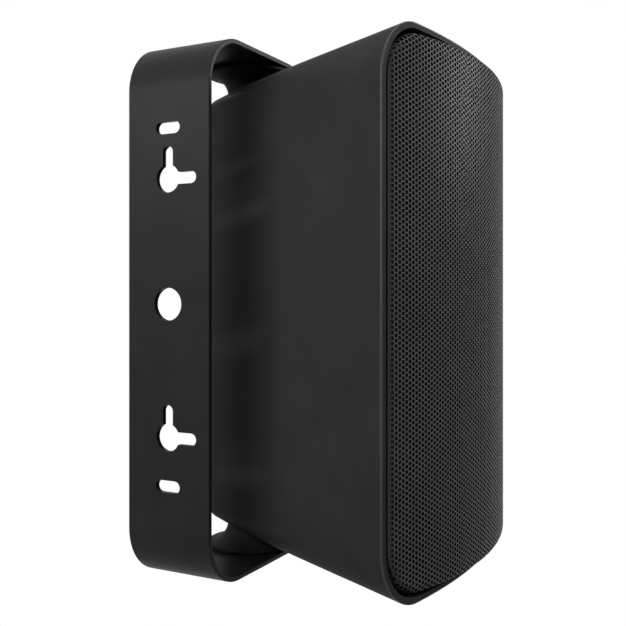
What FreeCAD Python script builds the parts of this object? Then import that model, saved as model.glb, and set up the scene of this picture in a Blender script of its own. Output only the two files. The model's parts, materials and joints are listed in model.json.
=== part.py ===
import FreeCAD, Part
import os
import re
import Sketcher

# Two-way wall speaker that swivels in a U bracket of bent steel strip.
# The part's frame: origin on the wall face of the bracket, at its middle. +Z is up, +Y points into the wall.
# The cabinet is modelled in its own frame: origin on the swivel axis at mid height, front towards -Y.
# Its placement then turns it in the bracket by swivel_turn.

SIZES = {
    # bracket
    "strip_width": 46,
    "strip_thickness": 2.5,
    "strip_edge": 0.5,
    "arm_gap": 6.8,
    "bend_radius": 25.4,
    "pivot_reach": 73,
    "pivot_hole": 6.8,
    "cable_hole": 15.3,
    "cable_hole_height": 3,
    "keyhole_diameter": 13,
    "keyhole_inset": 23.2,
    "keyhole_middle": 1.2,
    "keyhole_rise": 15.1,
    "keyhole_run": 15.9,
    "screw_slot": 5.7,
    "slot_length": 13.5,
    "slot_inset": 20,
    "slot_middle": 1.6,
    # swivel
    "swivel_turn": 90,
    "swivel_clearance": 0.1,
    "friction_pad_radius": 20,
    "friction_pad_thickness": 0.8,
    "washer_radius": 8,
    "washer_thickness": 1.2,
    "bolt_radius": 2.95,
    "bolt_head_radius": 5.8,
    "bolt_head_height": 3.4,
    "bolt_grip": 13,
    "bolt_clearance": 0.2,
    "insert_radius": 4.2,
    "insert_length": 11,
    "boss_neck_radius": 12.3,
    "boss_flange_radius": 23,
    "boss_flange_edge": 1.2,
    "boss_flare": 7.6,
    "boss_depth": 24,
    # cabinet
    "cabinet_height": 238.6,
    "front_width": 173,
    "front_reach": 113.2,
    "side_draft": 29,
    "top_draft": 3.6,
    "corner_radius": 26,
    "nose_corner": 6,
    "nose_radius": 18,
    "rim_bow": 10.8,
    "rim_edge": 0.7,
    "cabinet_wall": 4,
    "fit_clearance": 0.3,
    "least_rounding": 0.1,
    "overcut": 1,
    "ledge_width": 12,
    "ledge_thickness": 7,
    # baffle
    "baffle_set_back": 5,
    "baffle_thickness": 5,
    "gasket_thickness": 1,
    # grille
    "grille_gap": 1.2,
    "grille_sheet": 1,
    "grille_bow": 16.5,
    "grille_edge": 3,
    "grille_pitch": 2,
    "grille_slot": 1.1,
    "grille_border": 5,
    "cloth_thickness": 0.5,
    "cloth_gap": 0.1,
    # woofer
    "woofer_edge": 20.5,
    "driver_gap": 2,
    "woofer_flange": 3,
    "basket_flange": 13,
    "basket_wall": 2,
    "basket_depth": 33,
    "basket_rear_radius": 36,
    "basket_rear_bore": 16,
    "basket_windows": 6,
    "window_width": 32,
    "window_narrow_width": 22.4,
    "window_edge": 0.5,
    "top_plate_radius": 34,
    "top_plate_thickness": 5,
    "magnet_radius": 40,
    "magnet_bore": 20,
    "magnet_thickness": 16,
    "magnet_chamfer": 1,
    "yoke_radius": 36,
    "yoke_thickness": 5,
    "yoke_chamfer": 1.5,
    "pole_radius": 11,
    "coil_gap": 2.2,
    "coil_wall": 0.9,
    "coil_length": 21,
    "coil_overhang": 9,
    "surround_width": 7,
    "cone_rise": 2,
    "cone_wall": 1,
    "cone_neck_depth": 24,
    "cap_radius": 19,
    "cap_crown": 26,
    "cap_wall": 0.8,
    "surround_wall": 0.7,
    "surround_roll": 4.9,
    "surround_landing": 3,
    "surround_lap": 2,
    "screw_margin": 1,
    "spider_wall": 0.6,
    "spider_ripple": 2.4,
    "spider_crest": 4.3,
    "spider_ripples": 4,
    "spider_foot": 4,
    "spider_gap": 1,
    # tweeter
    "tweeter_radius": 40,
    "tweeter_plate": 3,
    "tweeter_horn_mouth": 27,
    "tweeter_horn_throat": 15.5,
    "tweeter_horn_lip": 0.5,
    "dome_radius": 13,
    "dome_crown": 16,
    "dome_rim_radius": 22,
    "dome_wall": 0.8,
    "dome_clearance": 1,
    "dome_well": 2.5,
    "motor_radius": 31,
    "motor_depth": 22,
    "motor_chamfer": 1,
    # driver cut-outs and screws
    "cutout_clearance": 2,
    "screw_head_radius": 3.4,
    "screw_head_height": 2.4,
    "screw_radius": 1.9,
    "screw_length": 10,
    "small_head_radius": 2.6,
    "small_head_height": 1.8,
    "small_screw_radius": 1.4,
    "small_screw_length": 6,
    "screw_hole_clearance": 0.2,
    # crossover
    "board_width": 56,
    "board_length": 44,
    "board_thickness": 1.6,
    "board_front": 27,
    "standoff_height": 6,
    "standoff_radius": 3.5,
    "board_screw_inset": 4.5,
    "board_edge": 1,
    "capacitor_start": 7,
    "small_capacitor_start": 11,
    "coil_start": 8,
    "resistor_edge": 3,
    "coil_form_radius": 13,
    "coil_form_bore": 5,
    "coil_form_height": 14,
    "film_capacitor_radius": 6.5,
    "film_capacitor_length": 25,
    "small_capacitor_radius": 4,
    "small_capacitor_length": 18,
    "resistor_length": 20,
    "resistor_radius": 3,
    "component_lift": 0.1,
    "lead_radius": 0.5,
    "leg_radius": 0.35,
    "lead_reach": 1.5,
    # rear terminal
    "terminal_height": -50,
    "notch_width": 26,
    "notch_length": 56,
    "notch_depth": 12.72,
    "notch_wall": 2,
    "notch_backing": 8,
    "terminal_plate": 2,
    "terminal_margin": 1,
    "terminal_window_width": 14,
    "terminal_window_length": 28,
    "terminal_screw_inset": 3,
    "block_width": 18,
    "block_length": 32,
    "block_thickness": 8,
    "block_rib": 2,
    "block_floor": 3,
    "clamp_lift": 1,
    # insulated wires inside
    "wire_radius": 0.8,
    "wire_bend": 4,
    "wire_spacing": 4,
    "wire_rise": 8,
    "wire_room": 8,
    "wire_inset": 1.4,
    "wire_reach": 20,
    "wire_tip_gap": 0.6,
    # wadding
    "wadding_front": 53,
    "wadding_back": 89,
    "wadding_low": 16,
    "wadding_high": 88,
}

# Values that follow from the sizes above, in the cabinet's frame.
FOLLOWS = {
    "bracket_height": "(cabinet_height + 2 * (arm_gap + strip_thickness))",
    "bracket_half": "(bracket_height / 2)",
    "slot_spacing": "(bracket_height - 2 * (bend_radius + slot_inset))",
    "keyhole_spacing": "(slot_spacing - 2 * keyhole_inset)",
    "arm_under": "(bracket_half - strip_thickness)",
    "boss_top": "(arm_under - swivel_clearance - friction_pad_thickness)",
    "nose_axis": "((front_width / 2 - nose_radius / cos(side_draft)) / tan(side_draft) - front_reach)",
    "rim_radius": "((front_width ^ 2 / 4 + rim_bow ^ 2) / (2 * rim_bow))",
    "grille_half_chord": "(front_width / 2 - (cabinet_wall + grille_gap) / cos(side_draft))",
    "grille_radius": "((grille_half_chord ^ 2 + grille_bow ^ 2) / (2 * grille_bow))",
    "grille_axis": "(grille_radius - grille_bow - front_reach)",
    "baffle_face": "(baffle_set_back - front_reach)",
    "baffle_back": "(baffle_face + baffle_thickness)",
    "ledge_front": "(baffle_back + gasket_thickness)",
    "ledge_back": "(ledge_front + ledge_thickness)",
    "opening_half_width": "(front_width / 2 - (ledge_front + front_reach) * tan(side_draft)"
                          " - cabinet_wall / cos(side_draft) - ledge_width)",
    "opening_half_height": "(cabinet_height / 2 - cabinet_wall - ledge_width)",
    "baffle_screw_across": "(2 * opening_half_width + ledge_width)",
    "baffle_screw_along": "(cabinet_height - 2 * corner_radius)",
    "woofer_height": "(cabinet_height * -0.176)",
    "tweeter_height": "(cabinet_height * 0.2766)",
    "woofer_radius": "min(front_width / 2 - woofer_edge;"
                     " tweeter_height - woofer_height - tweeter_radius - driver_gap)",
    "basket_bore": "(woofer_radius - basket_flange)",
    "cone_radius": "(basket_bore - surround_width)",
    "woofer_face": "(baffle_face - woofer_flange)",
    "basket_back": "(baffle_face + basket_depth)",
    "plate_back": "(basket_back + top_plate_thickness)",
    "magnet_back": "(plate_back + magnet_thickness)",
    "coil_inner": "(pole_radius + (coil_gap - coil_wall) / 2)",
    "coil_outer": "(coil_inner + coil_wall)",
    "cone_edge": "(baffle_face - cone_rise)",
    "cone_neck": "(baffle_face + cone_neck_depth)",
    "cone_slope": "((cone_neck - cone_wall - cone_edge) / (cone_radius - coil_outer))",
    "cap_edge": "(cone_edge + (cone_radius - cap_radius) * cone_slope)",
    "cap_top": "(cap_edge - cap_crown + sqrt(cap_crown ^ 2 - cap_radius ^ 2))",
    "surround_outer": "(basket_bore + surround_lap)",
    "woofer_cutout": "(basket_bore + basket_wall + cutout_clearance)",
    "woofer_screw_circle": "(woofer_radius - screw_head_radius - screw_margin)",
    "tweeter_cutout": "(motor_radius + cutout_clearance)",
    "tweeter_screw_circle": "(tweeter_radius - screw_head_radius - screw_margin / 2)",
    "dome_top": "(baffle_face - dome_crown + sqrt(dome_crown ^ 2 - dome_radius ^ 2))",
    "floor_level": "(cabinet_wall - cabinet_height / 2 + (board_front + board_length) * tan(top_draft))",
    "board_level": "(floor_level + standoff_height)",
    "board_top": "(board_level + board_thickness)",
    "board_start": "(board_front - front_reach)",
    "notch_floor": "(nose_axis + nose_radius - notch_depth)",
    "notch_half_width": "(notch_width / 2)",
    "notch_half_length": "(notch_length / 2)",
    "plate_outer": "(notch_floor + terminal_plate)",
}

doc = FreeCAD.newDocument("wall_speaker")
dims = doc.addObject("Spreadsheet::Sheet", "Dims")
for line, (alias, number) in enumerate(SIZES.items(), 1):
    dims.set(f"A{line}", alias)
    dims.set(f"B{line}", str(number))
    dims.setAlias(f"B{line}", alias)
doc.recompute()

nodes = []
ALONG = {"X": FreeCAD.Vector(1, 0, 0), "Y": FreeCAD.Vector(0, 1, 0), "Z": FreeCAD.Vector(0, 0, 1)}
LAID_ON = {"XY": (FreeCAD.Vector(0, 0, 1), 0), "XZ": (FreeCAD.Vector(1, 0, 0), 90),
           "YZ": (FreeCAD.Vector(1, 1, 1), 120)}


# Sizes and places

def expression(text):
    """The expression for a size written in the names above."""
    def spell(match):
        word = match.group()
        if word in FOLLOWS:
            return expression(FOLLOWS[word])
        return f"Dims.{word}" if word in SIZES else word
    return re.sub(r"[a-z][a-z_]*", spell, str(text))


def value(text):
    return float(dims.evalExpression(expression(text)))


def bind(item, **sizes):
    for name, text in sizes.items():
        item.setExpression(name, expression(text))
    return item


def place(item, x="0", y="0", z="0"):
    item.setExpression("Placement.Base.x", expression(x))
    item.setExpression("Placement.Base.y", expression(y))
    item.setExpression("Placement.Base.z", expression(z))
    return item


def turn(item, axis, angle):
    rotation = FreeCAD.Rotation(FreeCAD.Vector(*axis), value(angle))
    item.Placement = FreeCAD.Placement(FreeCAD.Vector(), rotation)
    item.setExpression("Placement.Rotation.Angle", expression(angle))
    return item


def node(item, label):
    """Names a finished piece, which is then written to its own file."""
    item.Label = label
    nodes.append(item)
    return item


def in_cabinet(item, label, height="0"):
    """Names a finished piece and places it with the cabinet in the bracket."""
    turn(item, (0, 0, -1), "swivel_turn")
    place(item, y="-pivot_reach", z=height)
    return node(item, label)


# Sketches

def arc_between(start, end, radius, left):
    """The arc of less than half a turn from start to end."""
    chord = end - start
    rise = max(radius ** 2 - (chord.Length / 2) ** 2, 0) ** 0.5
    across = FreeCAD.Vector(-chord.y, chord.x, 0).normalize()
    centre = (start + end) / 2 + across * (rise if left else -rise)
    circle = Part.Circle(centre, FreeCAD.Vector(0, 0, 1), radius)
    ends = [circle.parameter(point) for point in ((start, end) if left else (end, start))]
    return Part.ArcOfCircle(circle, *ends)


def outline(sketch, corners):
    """Closes an outline through corners (x, y), with an arc after a corner (x, y, side, radius).

    The side, left or right, is the way the arc turns. An arc with no radius is half a circle.
    """
    spots = [FreeCAD.Vector(value(corner[0]), value(corner[1]), 0) for corner in corners]
    first = sketch.GeometryCount
    tips = []
    for index, corner in enumerate(corners):
        start = spots[index]
        end = spots[(index + 1) % len(spots)]
        if len(corner) == 2:
            sketch.addGeometry(Part.LineSegment(start, end), False)
            tips.append((1, 2))
            continue
        left = corner[2] == "left"
        radius = value(corner[3]) if len(corner) == 4 else (end - start).Length / 2
        sketch.addGeometry(arc_between(start, end, radius, left), False)
        tips.append((1, 2) if left else (2, 1))
    for index, corner in enumerate(corners):
        edge = first + index
        after = (index + 1) % len(corners)
        half_circle = len(corners[after]) == 3
        kind = "Tangent" if half_circle else "Coincident"
        sketch.addConstraint(Sketcher.Constraint(kind, edge, tips[index][1], first + after, tips[after][0]))
        for axis, text, line in (("DistanceX", corner[0], -2), ("DistanceY", corner[1], -1)):
            if text == "0":
                sketch.addConstraint(Sketcher.Constraint("PointOnObject", edge, tips[index][0], line))
                continue
            held = sketch.addConstraint(Sketcher.Constraint(axis, -1, 1, edge, tips[index][0], value(text)))
            sketch.setExpression(f"Constraints[{held}]", expression(text))
        if len(corner) == 4:
            held = sketch.addConstraint(Sketcher.Constraint("Radius", edge, value(corner[3])))
            sketch.setExpression(f"Constraints[{held}]", expression(corner[3]))


def circle(sketch, x, y, diameter):
    centre = FreeCAD.Vector(value(x), value(y), 0)
    edge = sketch.addGeometry(Part.Circle(centre, FreeCAD.Vector(0, 0, 1), value(diameter) / 2), False)
    held = sketch.addConstraint(Sketcher.Constraint("Diameter", edge, value(diameter)))
    sketch.setExpression(f"Constraints[{held}]", expression(diameter))
    for axis, text, line in (("DistanceX", x, -2), ("DistanceY", y, -1)):
        if text == "0":
            sketch.addConstraint(Sketcher.Constraint("PointOnObject", edge, 3, line))
            continue
        held = sketch.addConstraint(Sketcher.Constraint(axis, -1, 1, edge, 3, value(text)))
        sketch.setExpression(f"Constraints[{held}]", expression(text))


def body_sketch(body, plane, name):
    sketch = body.newObject("Sketcher::SketchObject", name)
    origin = {feature.Role: feature for feature in body.Origin.OriginFeatures}
    sketch.AttachmentSupport = [(origin[plane], "")]
    sketch.MapMode = "FlatFace"
    return sketch


def loose_sketch(plane, name, corners):
    """A sketch outside a body, on the XY, XZ or YZ plane."""
    sketch = doc.addObject("Sketcher::SketchObject", name)
    sketch.Placement = FreeCAD.Placement(FreeCAD.Vector(), FreeCAD.Rotation(*LAID_ON[plane]))
    outline(sketch, corners)
    return sketch


# Solids

def turned_body(name, axis, corners):
    """A body turned about its own Y or Z axis, with corners (radius, place along the axis)."""
    body = doc.addObject("PartDesign::Body", name)
    sketch = body_sketch(body, "XY_Plane" if axis == "Y" else "XZ_Plane", name + "_profile")
    outline(sketch, corners)
    turning = body.newObject("PartDesign::Revolution", name + "_turned")
    turning.Profile = sketch
    turning.ReferenceAxis = (sketch, ["V_Axis"])
    turning.Angle = 360
    sketch.Visibility = False
    return body


def padded_body(name, plane, corners, length):
    """A body made of one outline, padded to both sides of its plane."""
    body = doc.addObject("PartDesign::Body", name)
    sketch = body_sketch(body, plane, name + "_outline")
    outline(sketch, corners)
    pad = body.newObject("PartDesign::Pad", name + "_pad")
    pad.Profile = sketch
    pad.SideType = "Symmetric"
    bind(pad, Length=length)
    return body


def pocket_through(body, sketch, name):
    """Cuts a sketch right through a body, to both sides."""
    before = body.Tip
    doc.recompute()
    pocket = body.newObject("PartDesign::Pocket", name)
    pocket.Profile = sketch
    pocket.Type = "ThroughAll"
    pocket.SideType = "Symmetric"
    doc.recompute()
    if pocket.Shape.Volume > before.Shape.Volume - 1e-3:
        raise RuntimeError(f"{name} cuts nothing")
    return pocket


def round_edges(body, name, radius, chosen):
    """Rounds the edges of a body's last feature that chosen picks."""
    doc.recompute()
    base = body.Tip
    edges = [f"Edge{i}" for i, edge in enumerate(base.Shape.Edges, 1) if chosen(edge)]
    fillet = body.newObject("PartDesign::Fillet", name)
    fillet.Base = (base, edges)
    bind(fillet, Radius=radius)
    doc.recompute()
    return fillet


def extruded(name, plane, corners, forward, backward="0"):
    """A sketch on the XY, XZ or YZ plane, drawn out along Z, Y or X."""
    block = doc.addObject("Part::Extrusion", name)
    block.Base = loose_sketch(plane, name + "_outline", corners)
    block.DirMode = "Custom"
    block.Dir = ALONG[next(axis for axis in ALONG if axis not in plane)]
    block.Solid = True
    return bind(block, LengthFwd=forward, LengthRev=backward)


def revolved(name, plane, corners):
    """A sketch turned about Y if it is on the XY plane, or about Z if it is on the XZ plane."""
    solid = doc.addObject("Part::Revolution", name)
    solid.Source = loose_sketch(plane, name + "_profile", corners)
    solid.Axis = FreeCAD.Vector(0, 1, 0) if plane == "XY" else FreeCAD.Vector(0, 0, 1)
    solid.Angle = 360
    solid.Solid = True
    return solid


def box(name, low, high):
    """A block between two corners."""
    block = doc.addObject("Part::Box", name)
    sides = [f"({top}) - ({base})" for base, top in zip(low, high)]
    bind(block, Length=sides[0], Width=sides[1], Height=sides[2])
    return place(block, *low)


def cylinder(name, radius, length, axis, x="0", y="0", z="0"):
    """A cylinder along X, Y or Z from the point x, y, z."""
    rod = doc.addObject("Part::Cylinder", name)
    rod.Placement.Rotation = FreeCAD.Rotation(FreeCAD.Vector(0, 0, 1), ALONG[axis])
    bind(rod, Radius=radius, Height=length)
    return place(rod, x, y, z)


def mirrored(name, source, normal):
    copy = doc.addObject("Part::Mirroring", name)
    copy.Source = source
    copy.Normal = FreeCAD.Vector(*normal)
    return copy


def common(name, base, tool):
    solid = doc.addObject("Part::Common", name)
    solid.Base = base
    solid.Tool = tool
    return solid


def cut(name, base, *tools):
    solid = doc.addObject("Part::Cut", name)
    solid.Base = base
    solid.Tool = tools[0] if len(tools) == 1 else fused(name + "_tools", *tools)
    return solid


def fused(name, *items):
    solid = doc.addObject("Part::MultiFuse", name)
    solid.Shapes = list(items)
    return solid


def fastener(head_radius, head_height, shank_radius, length):
    """The corners of a pan-head screw with its bearing face at 0, its head on the negative side."""
    return [("0", f"-{head_height}"), (f"{head_radius} - {head_height} / 2", f"-{head_height}"),
            (head_radius, f"-{head_height} / 2"), (head_radius, "0"), (shank_radius, "0"),
            (shank_radius, length), ("0", length)]


def screw_group(name, corners, spots, plane="XY", about=None):
    """Like screws as separate solids in one piece: along Y with heads in front, or as about turns them."""
    screws = []
    for count, spot in enumerate(spots, 1):
        screw = revolved(f"{name}_{count}", plane, corners)
        if about:
            rotation = FreeCAD.Rotation(FreeCAD.Vector(*about), 180)
            screw.Placement = FreeCAD.Placement(FreeCAD.Vector(), rotation)
        screws.append(place(screw, *spot))
    group = doc.addObject("Part::Compound", name)
    group.Links = screws
    return group


def ring_spots(circle_radius, count, start, y, z):
    """Places evenly spaced on a circle about an axis along Y."""
    angles = [start + 360 * index / count for index in range(count)]
    return [(f"{circle_radius} * cos({a})", y, f"{z} + {circle_radius} * sin({a})") for a in angles]


# Wall bracket: flat strip bent to a U, with keyholes, slots and a cable hole in its plate

def slot_corners(x0, z0, x1, z1, width):
    """A slot with round ends from one end's centre to the other's, along X or along Z."""
    half = f"{width} / 2"
    if z0 == z1:
        return [(x0, f"{z0} - {half}"), (x1, f"{z0} - {half}", "left"), (x1, f"{z0} + {half}"),
                (x0, f"{z0} + {half}", "left")]
    return [(f"{x0} + {half}", z0), (f"{x0} + {half}", z1, "left"), (f"{x0} - {half}", z1),
            (f"{x0} - {half}", z0, "left")]


def wall_bracket():
    end = "-(pivot_reach + strip_width / 2)"
    bend = "bend_radius - strip_thickness"
    body = padded_body("wall_bracket_strip", "YZ_Plane", [
        (end, "bracket_half"), (end, "arm_under"), ("-bend_radius", "arm_under", "right", bend),
        ("-strip_thickness", "bracket_half - bend_radius"),
        ("-strip_thickness", "bend_radius - bracket_half", "right", bend),
        ("-bend_radius", "-arm_under"), (end, "-arm_under"), (end, "-bracket_half"),
        ("-bend_radius", "-bracket_half", "left", "bend_radius"), ("0", "bend_radius - bracket_half"),
        ("0", "bracket_half - bend_radius", "left", "bend_radius"), ("-bend_radius", "bracket_half")],
        "strip_width")

    def arm_corner(edge):
        points = [vertex.Point for vertex in edge.Vertexes]
        level = all(abs(point.y - value(end)) < 1e-6 for point in points)
        return level and len(points) == 2 and abs(points[0].x - points[1].x) < 1e-6

    def strip_side(edge):
        box_of_edge = edge.BoundBox
        on_side = box_of_edge.XLength < 1e-6 and abs(abs(box_of_edge.XMax) - value("strip_width / 2")) < 1e-6
        return (on_side and box_of_edge.YLength + box_of_edge.ZLength > value("strip_thickness") * 2
                or box_of_edge.YMin < value("-pivot_reach") - 1 and box_of_edge.ZLength < 1e-6
                and box_of_edge.XLength > value("strip_thickness"))

    round_edges(body, "wall_bracket_ends", "strip_width / 2 - 0.02", arm_corner)
    round_edges(body, "wall_bracket_edges", "strip_edge", strip_side)
    high = "keyhole_middle + keyhole_spacing / 2"
    low = "keyhole_middle - keyhole_spacing / 2"
    rounds = body_sketch(body, "XZ_Plane", "wall_bracket_rounds")
    circle(rounds, "0", "cable_hole_height", "cable_hole")
    circle(rounds, "0", high, "keyhole_diameter")
    circle(rounds, "0", low, "keyhole_diameter")
    pocket_through(body, rounds, "wall_bracket_round_holes")
    uprights = body_sketch(body, "XZ_Plane", "wall_bracket_uprights")
    levels = body_sketch(body, "XZ_Plane", "wall_bracket_levels")
    for height in (high, low):
        tip = "screw_slot / 2"
        outline(uprights, slot_corners("0", height, "0", f"{height} + keyhole_rise - {tip}", "screw_slot"))
        outline(levels, slot_corners(f"{tip} - keyhole_run", height, "0", height, "screw_slot"))
    for side in ("slot_spacing / 2", "-slot_spacing / 2"):
        reach = "(slot_length - screw_slot) / 2"
        height = f"slot_middle + {side}"
        outline(levels, slot_corners(f"-{reach}", height, reach, height, "screw_slot"))
    pocket_through(body, uprights, "wall_bracket_upright_slots")
    pocket_through(body, levels, "wall_bracket_level_slots")
    pivots = body_sketch(body, "XY_Plane", "wall_bracket_pivots")
    circle(pivots, "0", "-pivot_reach", "pivot_hole")
    pocket_through(body, pivots, "wall_bracket_pivot_holes")
    node(body, "wall_bracket")


# Swivel: bolts, washers, friction pads and threaded inserts, above and below

def swivel_hardware():
    bearing = "bracket_half + swivel_clearance + washer_thickness"
    for side, sign in (("upper", ""), ("lower", "-")):
        def at(level):
            return f"{sign}({level})"

        top = f"{bearing} + bolt_head_height"
        in_cabinet(turned_body(f"pivot_bolt_{side}_body", "Z", [
            ("0", at(top)), ("bolt_head_radius / 2", at(top)),
            ("bolt_head_radius", at(f"{bearing} + bolt_head_height / 3")), ("bolt_head_radius", at(bearing)),
            ("bolt_radius", at(bearing)), ("bolt_radius", at("boss_top - bolt_grip")),
            ("0", at("boss_top - bolt_grip"))]), f"pivot_bolt_{side}")
        in_cabinet(turned_body(f"pivot_washer_{side}_body", "Z", [
            ("pivot_hole / 2", at(f"{bearing} - washer_thickness")), ("pivot_hole / 2", at(bearing)),
            ("washer_radius", at(bearing)), ("washer_radius", at(f"{bearing} - washer_thickness"))]),
            f"pivot_washer_{side}")
        in_cabinet(turned_body(f"friction_pad_{side}_body", "Z", [
            ("insert_radius", at("boss_top")), ("insert_radius", at("boss_top + friction_pad_thickness")),
            ("friction_pad_radius", at("boss_top + friction_pad_thickness")),
            ("friction_pad_radius", at("boss_top"))]), f"friction_pad_{side}")
        in_cabinet(turned_body(f"threaded_insert_{side}_body", "Z", [
            ("bolt_radius", at("boss_top")), ("insert_radius", at("boss_top")),
            ("insert_radius", at("boss_top - insert_length")),
            ("bolt_radius", at("boss_top - insert_length"))]),
            f"threaded_insert_{side}")


# Cabinet: a moulded shell, wedge-shaped in plan with a round nose, its top and bottom sloping to the back

def form(name, inset):
    """The closed form, taken in by inset: leaning walls, sloping top and bottom, and a round nose."""
    ahead = "(rim_bow + grille_bow)"
    front = f"(-front_reach - {ahead})"
    back = "(nose_axis + nose_radius * 2)"
    wide = f"(front_width / 2 - {inset} / cos(side_draft) + {ahead} * tan(side_draft))"
    high = f"(cabinet_height / 2 - {inset} / cos(top_draft) + {ahead} * tan(top_draft))"
    low = f"({high} - ({back} - {front}) * tan(top_draft))"
    nose = f"(nose_radius - {inset})"
    across = f"{nose} * cos(side_draft)"
    along = f"nose_axis + {nose} * sin(side_draft)"
    plan = extruded(name + "_plan", "XY", [
        (f"-{wide}", front), (wide, front), (across, along, "left", nose), (f"-{across}", along)],
        "cabinet_height", "cabinet_height")
    profile = extruded(name + "_profile", "YZ", [
        (front, f"-{high}"), (back, f"-{low}"), (back, low), (front, high)], "front_width", "front_width")
    slope = f"(corner_radius - nose_corner) / (nose_axis + front_reach) * {ahead}"
    return long_edges_rounded(common(name + "_block", plan, profile), name,
                              f"corner_radius + {slope} - {inset}",
                              f"max(nose_corner - {inset}; least_rounding)")


def long_edges_rounded(block, name, front_radius, back_radius):
    """The block with its long edges rounded, and the rounding shrinking from the front to the nose."""
    doc.recompute()
    at_front = value(front_radius)
    at_nose = value(back_radius)
    tight = 1e-6
    rounding = doc.addObject("Part::Fillet", name)
    rounding.Base = block
    picked = []
    for index, edge in enumerate(block.Shape.Edges, 1):
        room = edge.BoundBox
        if room.XLength < tight or room.YLength < tight:
            continue
        fall = edge.valueAt(edge.LastParameter).y - edge.valueAt(edge.FirstParameter).y
        if abs(fall) < tight:
            picked.append((index, at_nose, at_nose))
        elif fall > 0:
            picked.append((index, at_front, at_nose))
        else:
            picked.append((index, at_nose, at_front))
    rounding.Edges = picked
    return rounding


def bow(name, radius, axis):
    """An upright cylinder whose front is the bowed front of the rim, the grille or its cloth."""
    return cylinder(name, radius, "cabinet_height * 2", "Z", y=axis, z="-cabinet_height")


def slice_box(name, start, end):
    """Everything between two depths."""
    return box(name, ("-front_width", start, "-cabinet_height"), ("front_width", end, "cabinet_height"))


def baffle_screw_spots(y):
    across = "baffle_screw_across / 2"
    along = "baffle_screw_along / 2"
    return [(f"{side}{across}", y, height) for side in ("", "-") for height in (along, "0", f"-{along}")]


def board_corner_spots(z):
    across = "(board_width / 2 - board_screw_inset)"
    near = "board_start + board_screw_inset"
    far = "board_start + board_length - board_screw_inset"
    return [(f"{side}{across}", y, z) for side in ("", "-") for y in (near, far)]


def terminal_corner_spots(y):
    across = "(notch_half_width - terminal_margin - terminal_screw_inset)"
    along = "(notch_half_length - terminal_margin - terminal_screw_inset)"
    return [(f"{side}{across}", y, f"terminal_height {sign} {along}")
            for side in ("", "-") for sign in ("+", "-")]


def pivot_boss(name, sign):
    """The trumpet-shaped boss that carries the bracket's arm and runs on into the cabinet."""
    def at(level):
        return f"{sign}({level})"

    neck_top = "boss_top - boss_flange_edge - boss_flare"
    flare = "boss_neck_radius + boss_flare"
    return revolved(name, "XZ", [
        ("0", at("boss_top - boss_depth")), ("boss_neck_radius", at("boss_top - boss_depth")),
        ("boss_neck_radius", at(neck_top), "left" if sign else "right", "boss_flare"),
        (flare, at("boss_top - boss_flange_edge")),
        ("boss_flange_radius", at("boss_top - boss_flange_edge")),
        ("boss_flange_radius", at("boss_top")), ("0", at("boss_top"))])


def rim_rounded(shell):
    """The shell with the outer edge of its front rim eased."""
    doc.recompute()
    front = FreeCAD.Vector(0, value("rim_radius - rim_bow - front_reach"), 0)
    radius = value("rim_radius")

    def on_rim(edge):
        middle = edge.valueAt((edge.FirstParameter + edge.LastParameter) / 2)
        spots = [middle] + [vertex.Point for vertex in edge.Vertexes]
        return all(abs(FreeCAD.Vector(p.x, p.y - front.y, 0).Length - radius) < 1e-4 for p in spots)

    rounding = doc.addObject("Part::Fillet", "cabinet_rim")
    rounding.Base = shell
    edges = [index for index, edge in enumerate(shell.Shape.Edges, 1) if on_rim(edge)]
    rounding.Edges = [(index, value("rim_edge"), value("rim_edge")) for index in edges]
    return rounding


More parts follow.
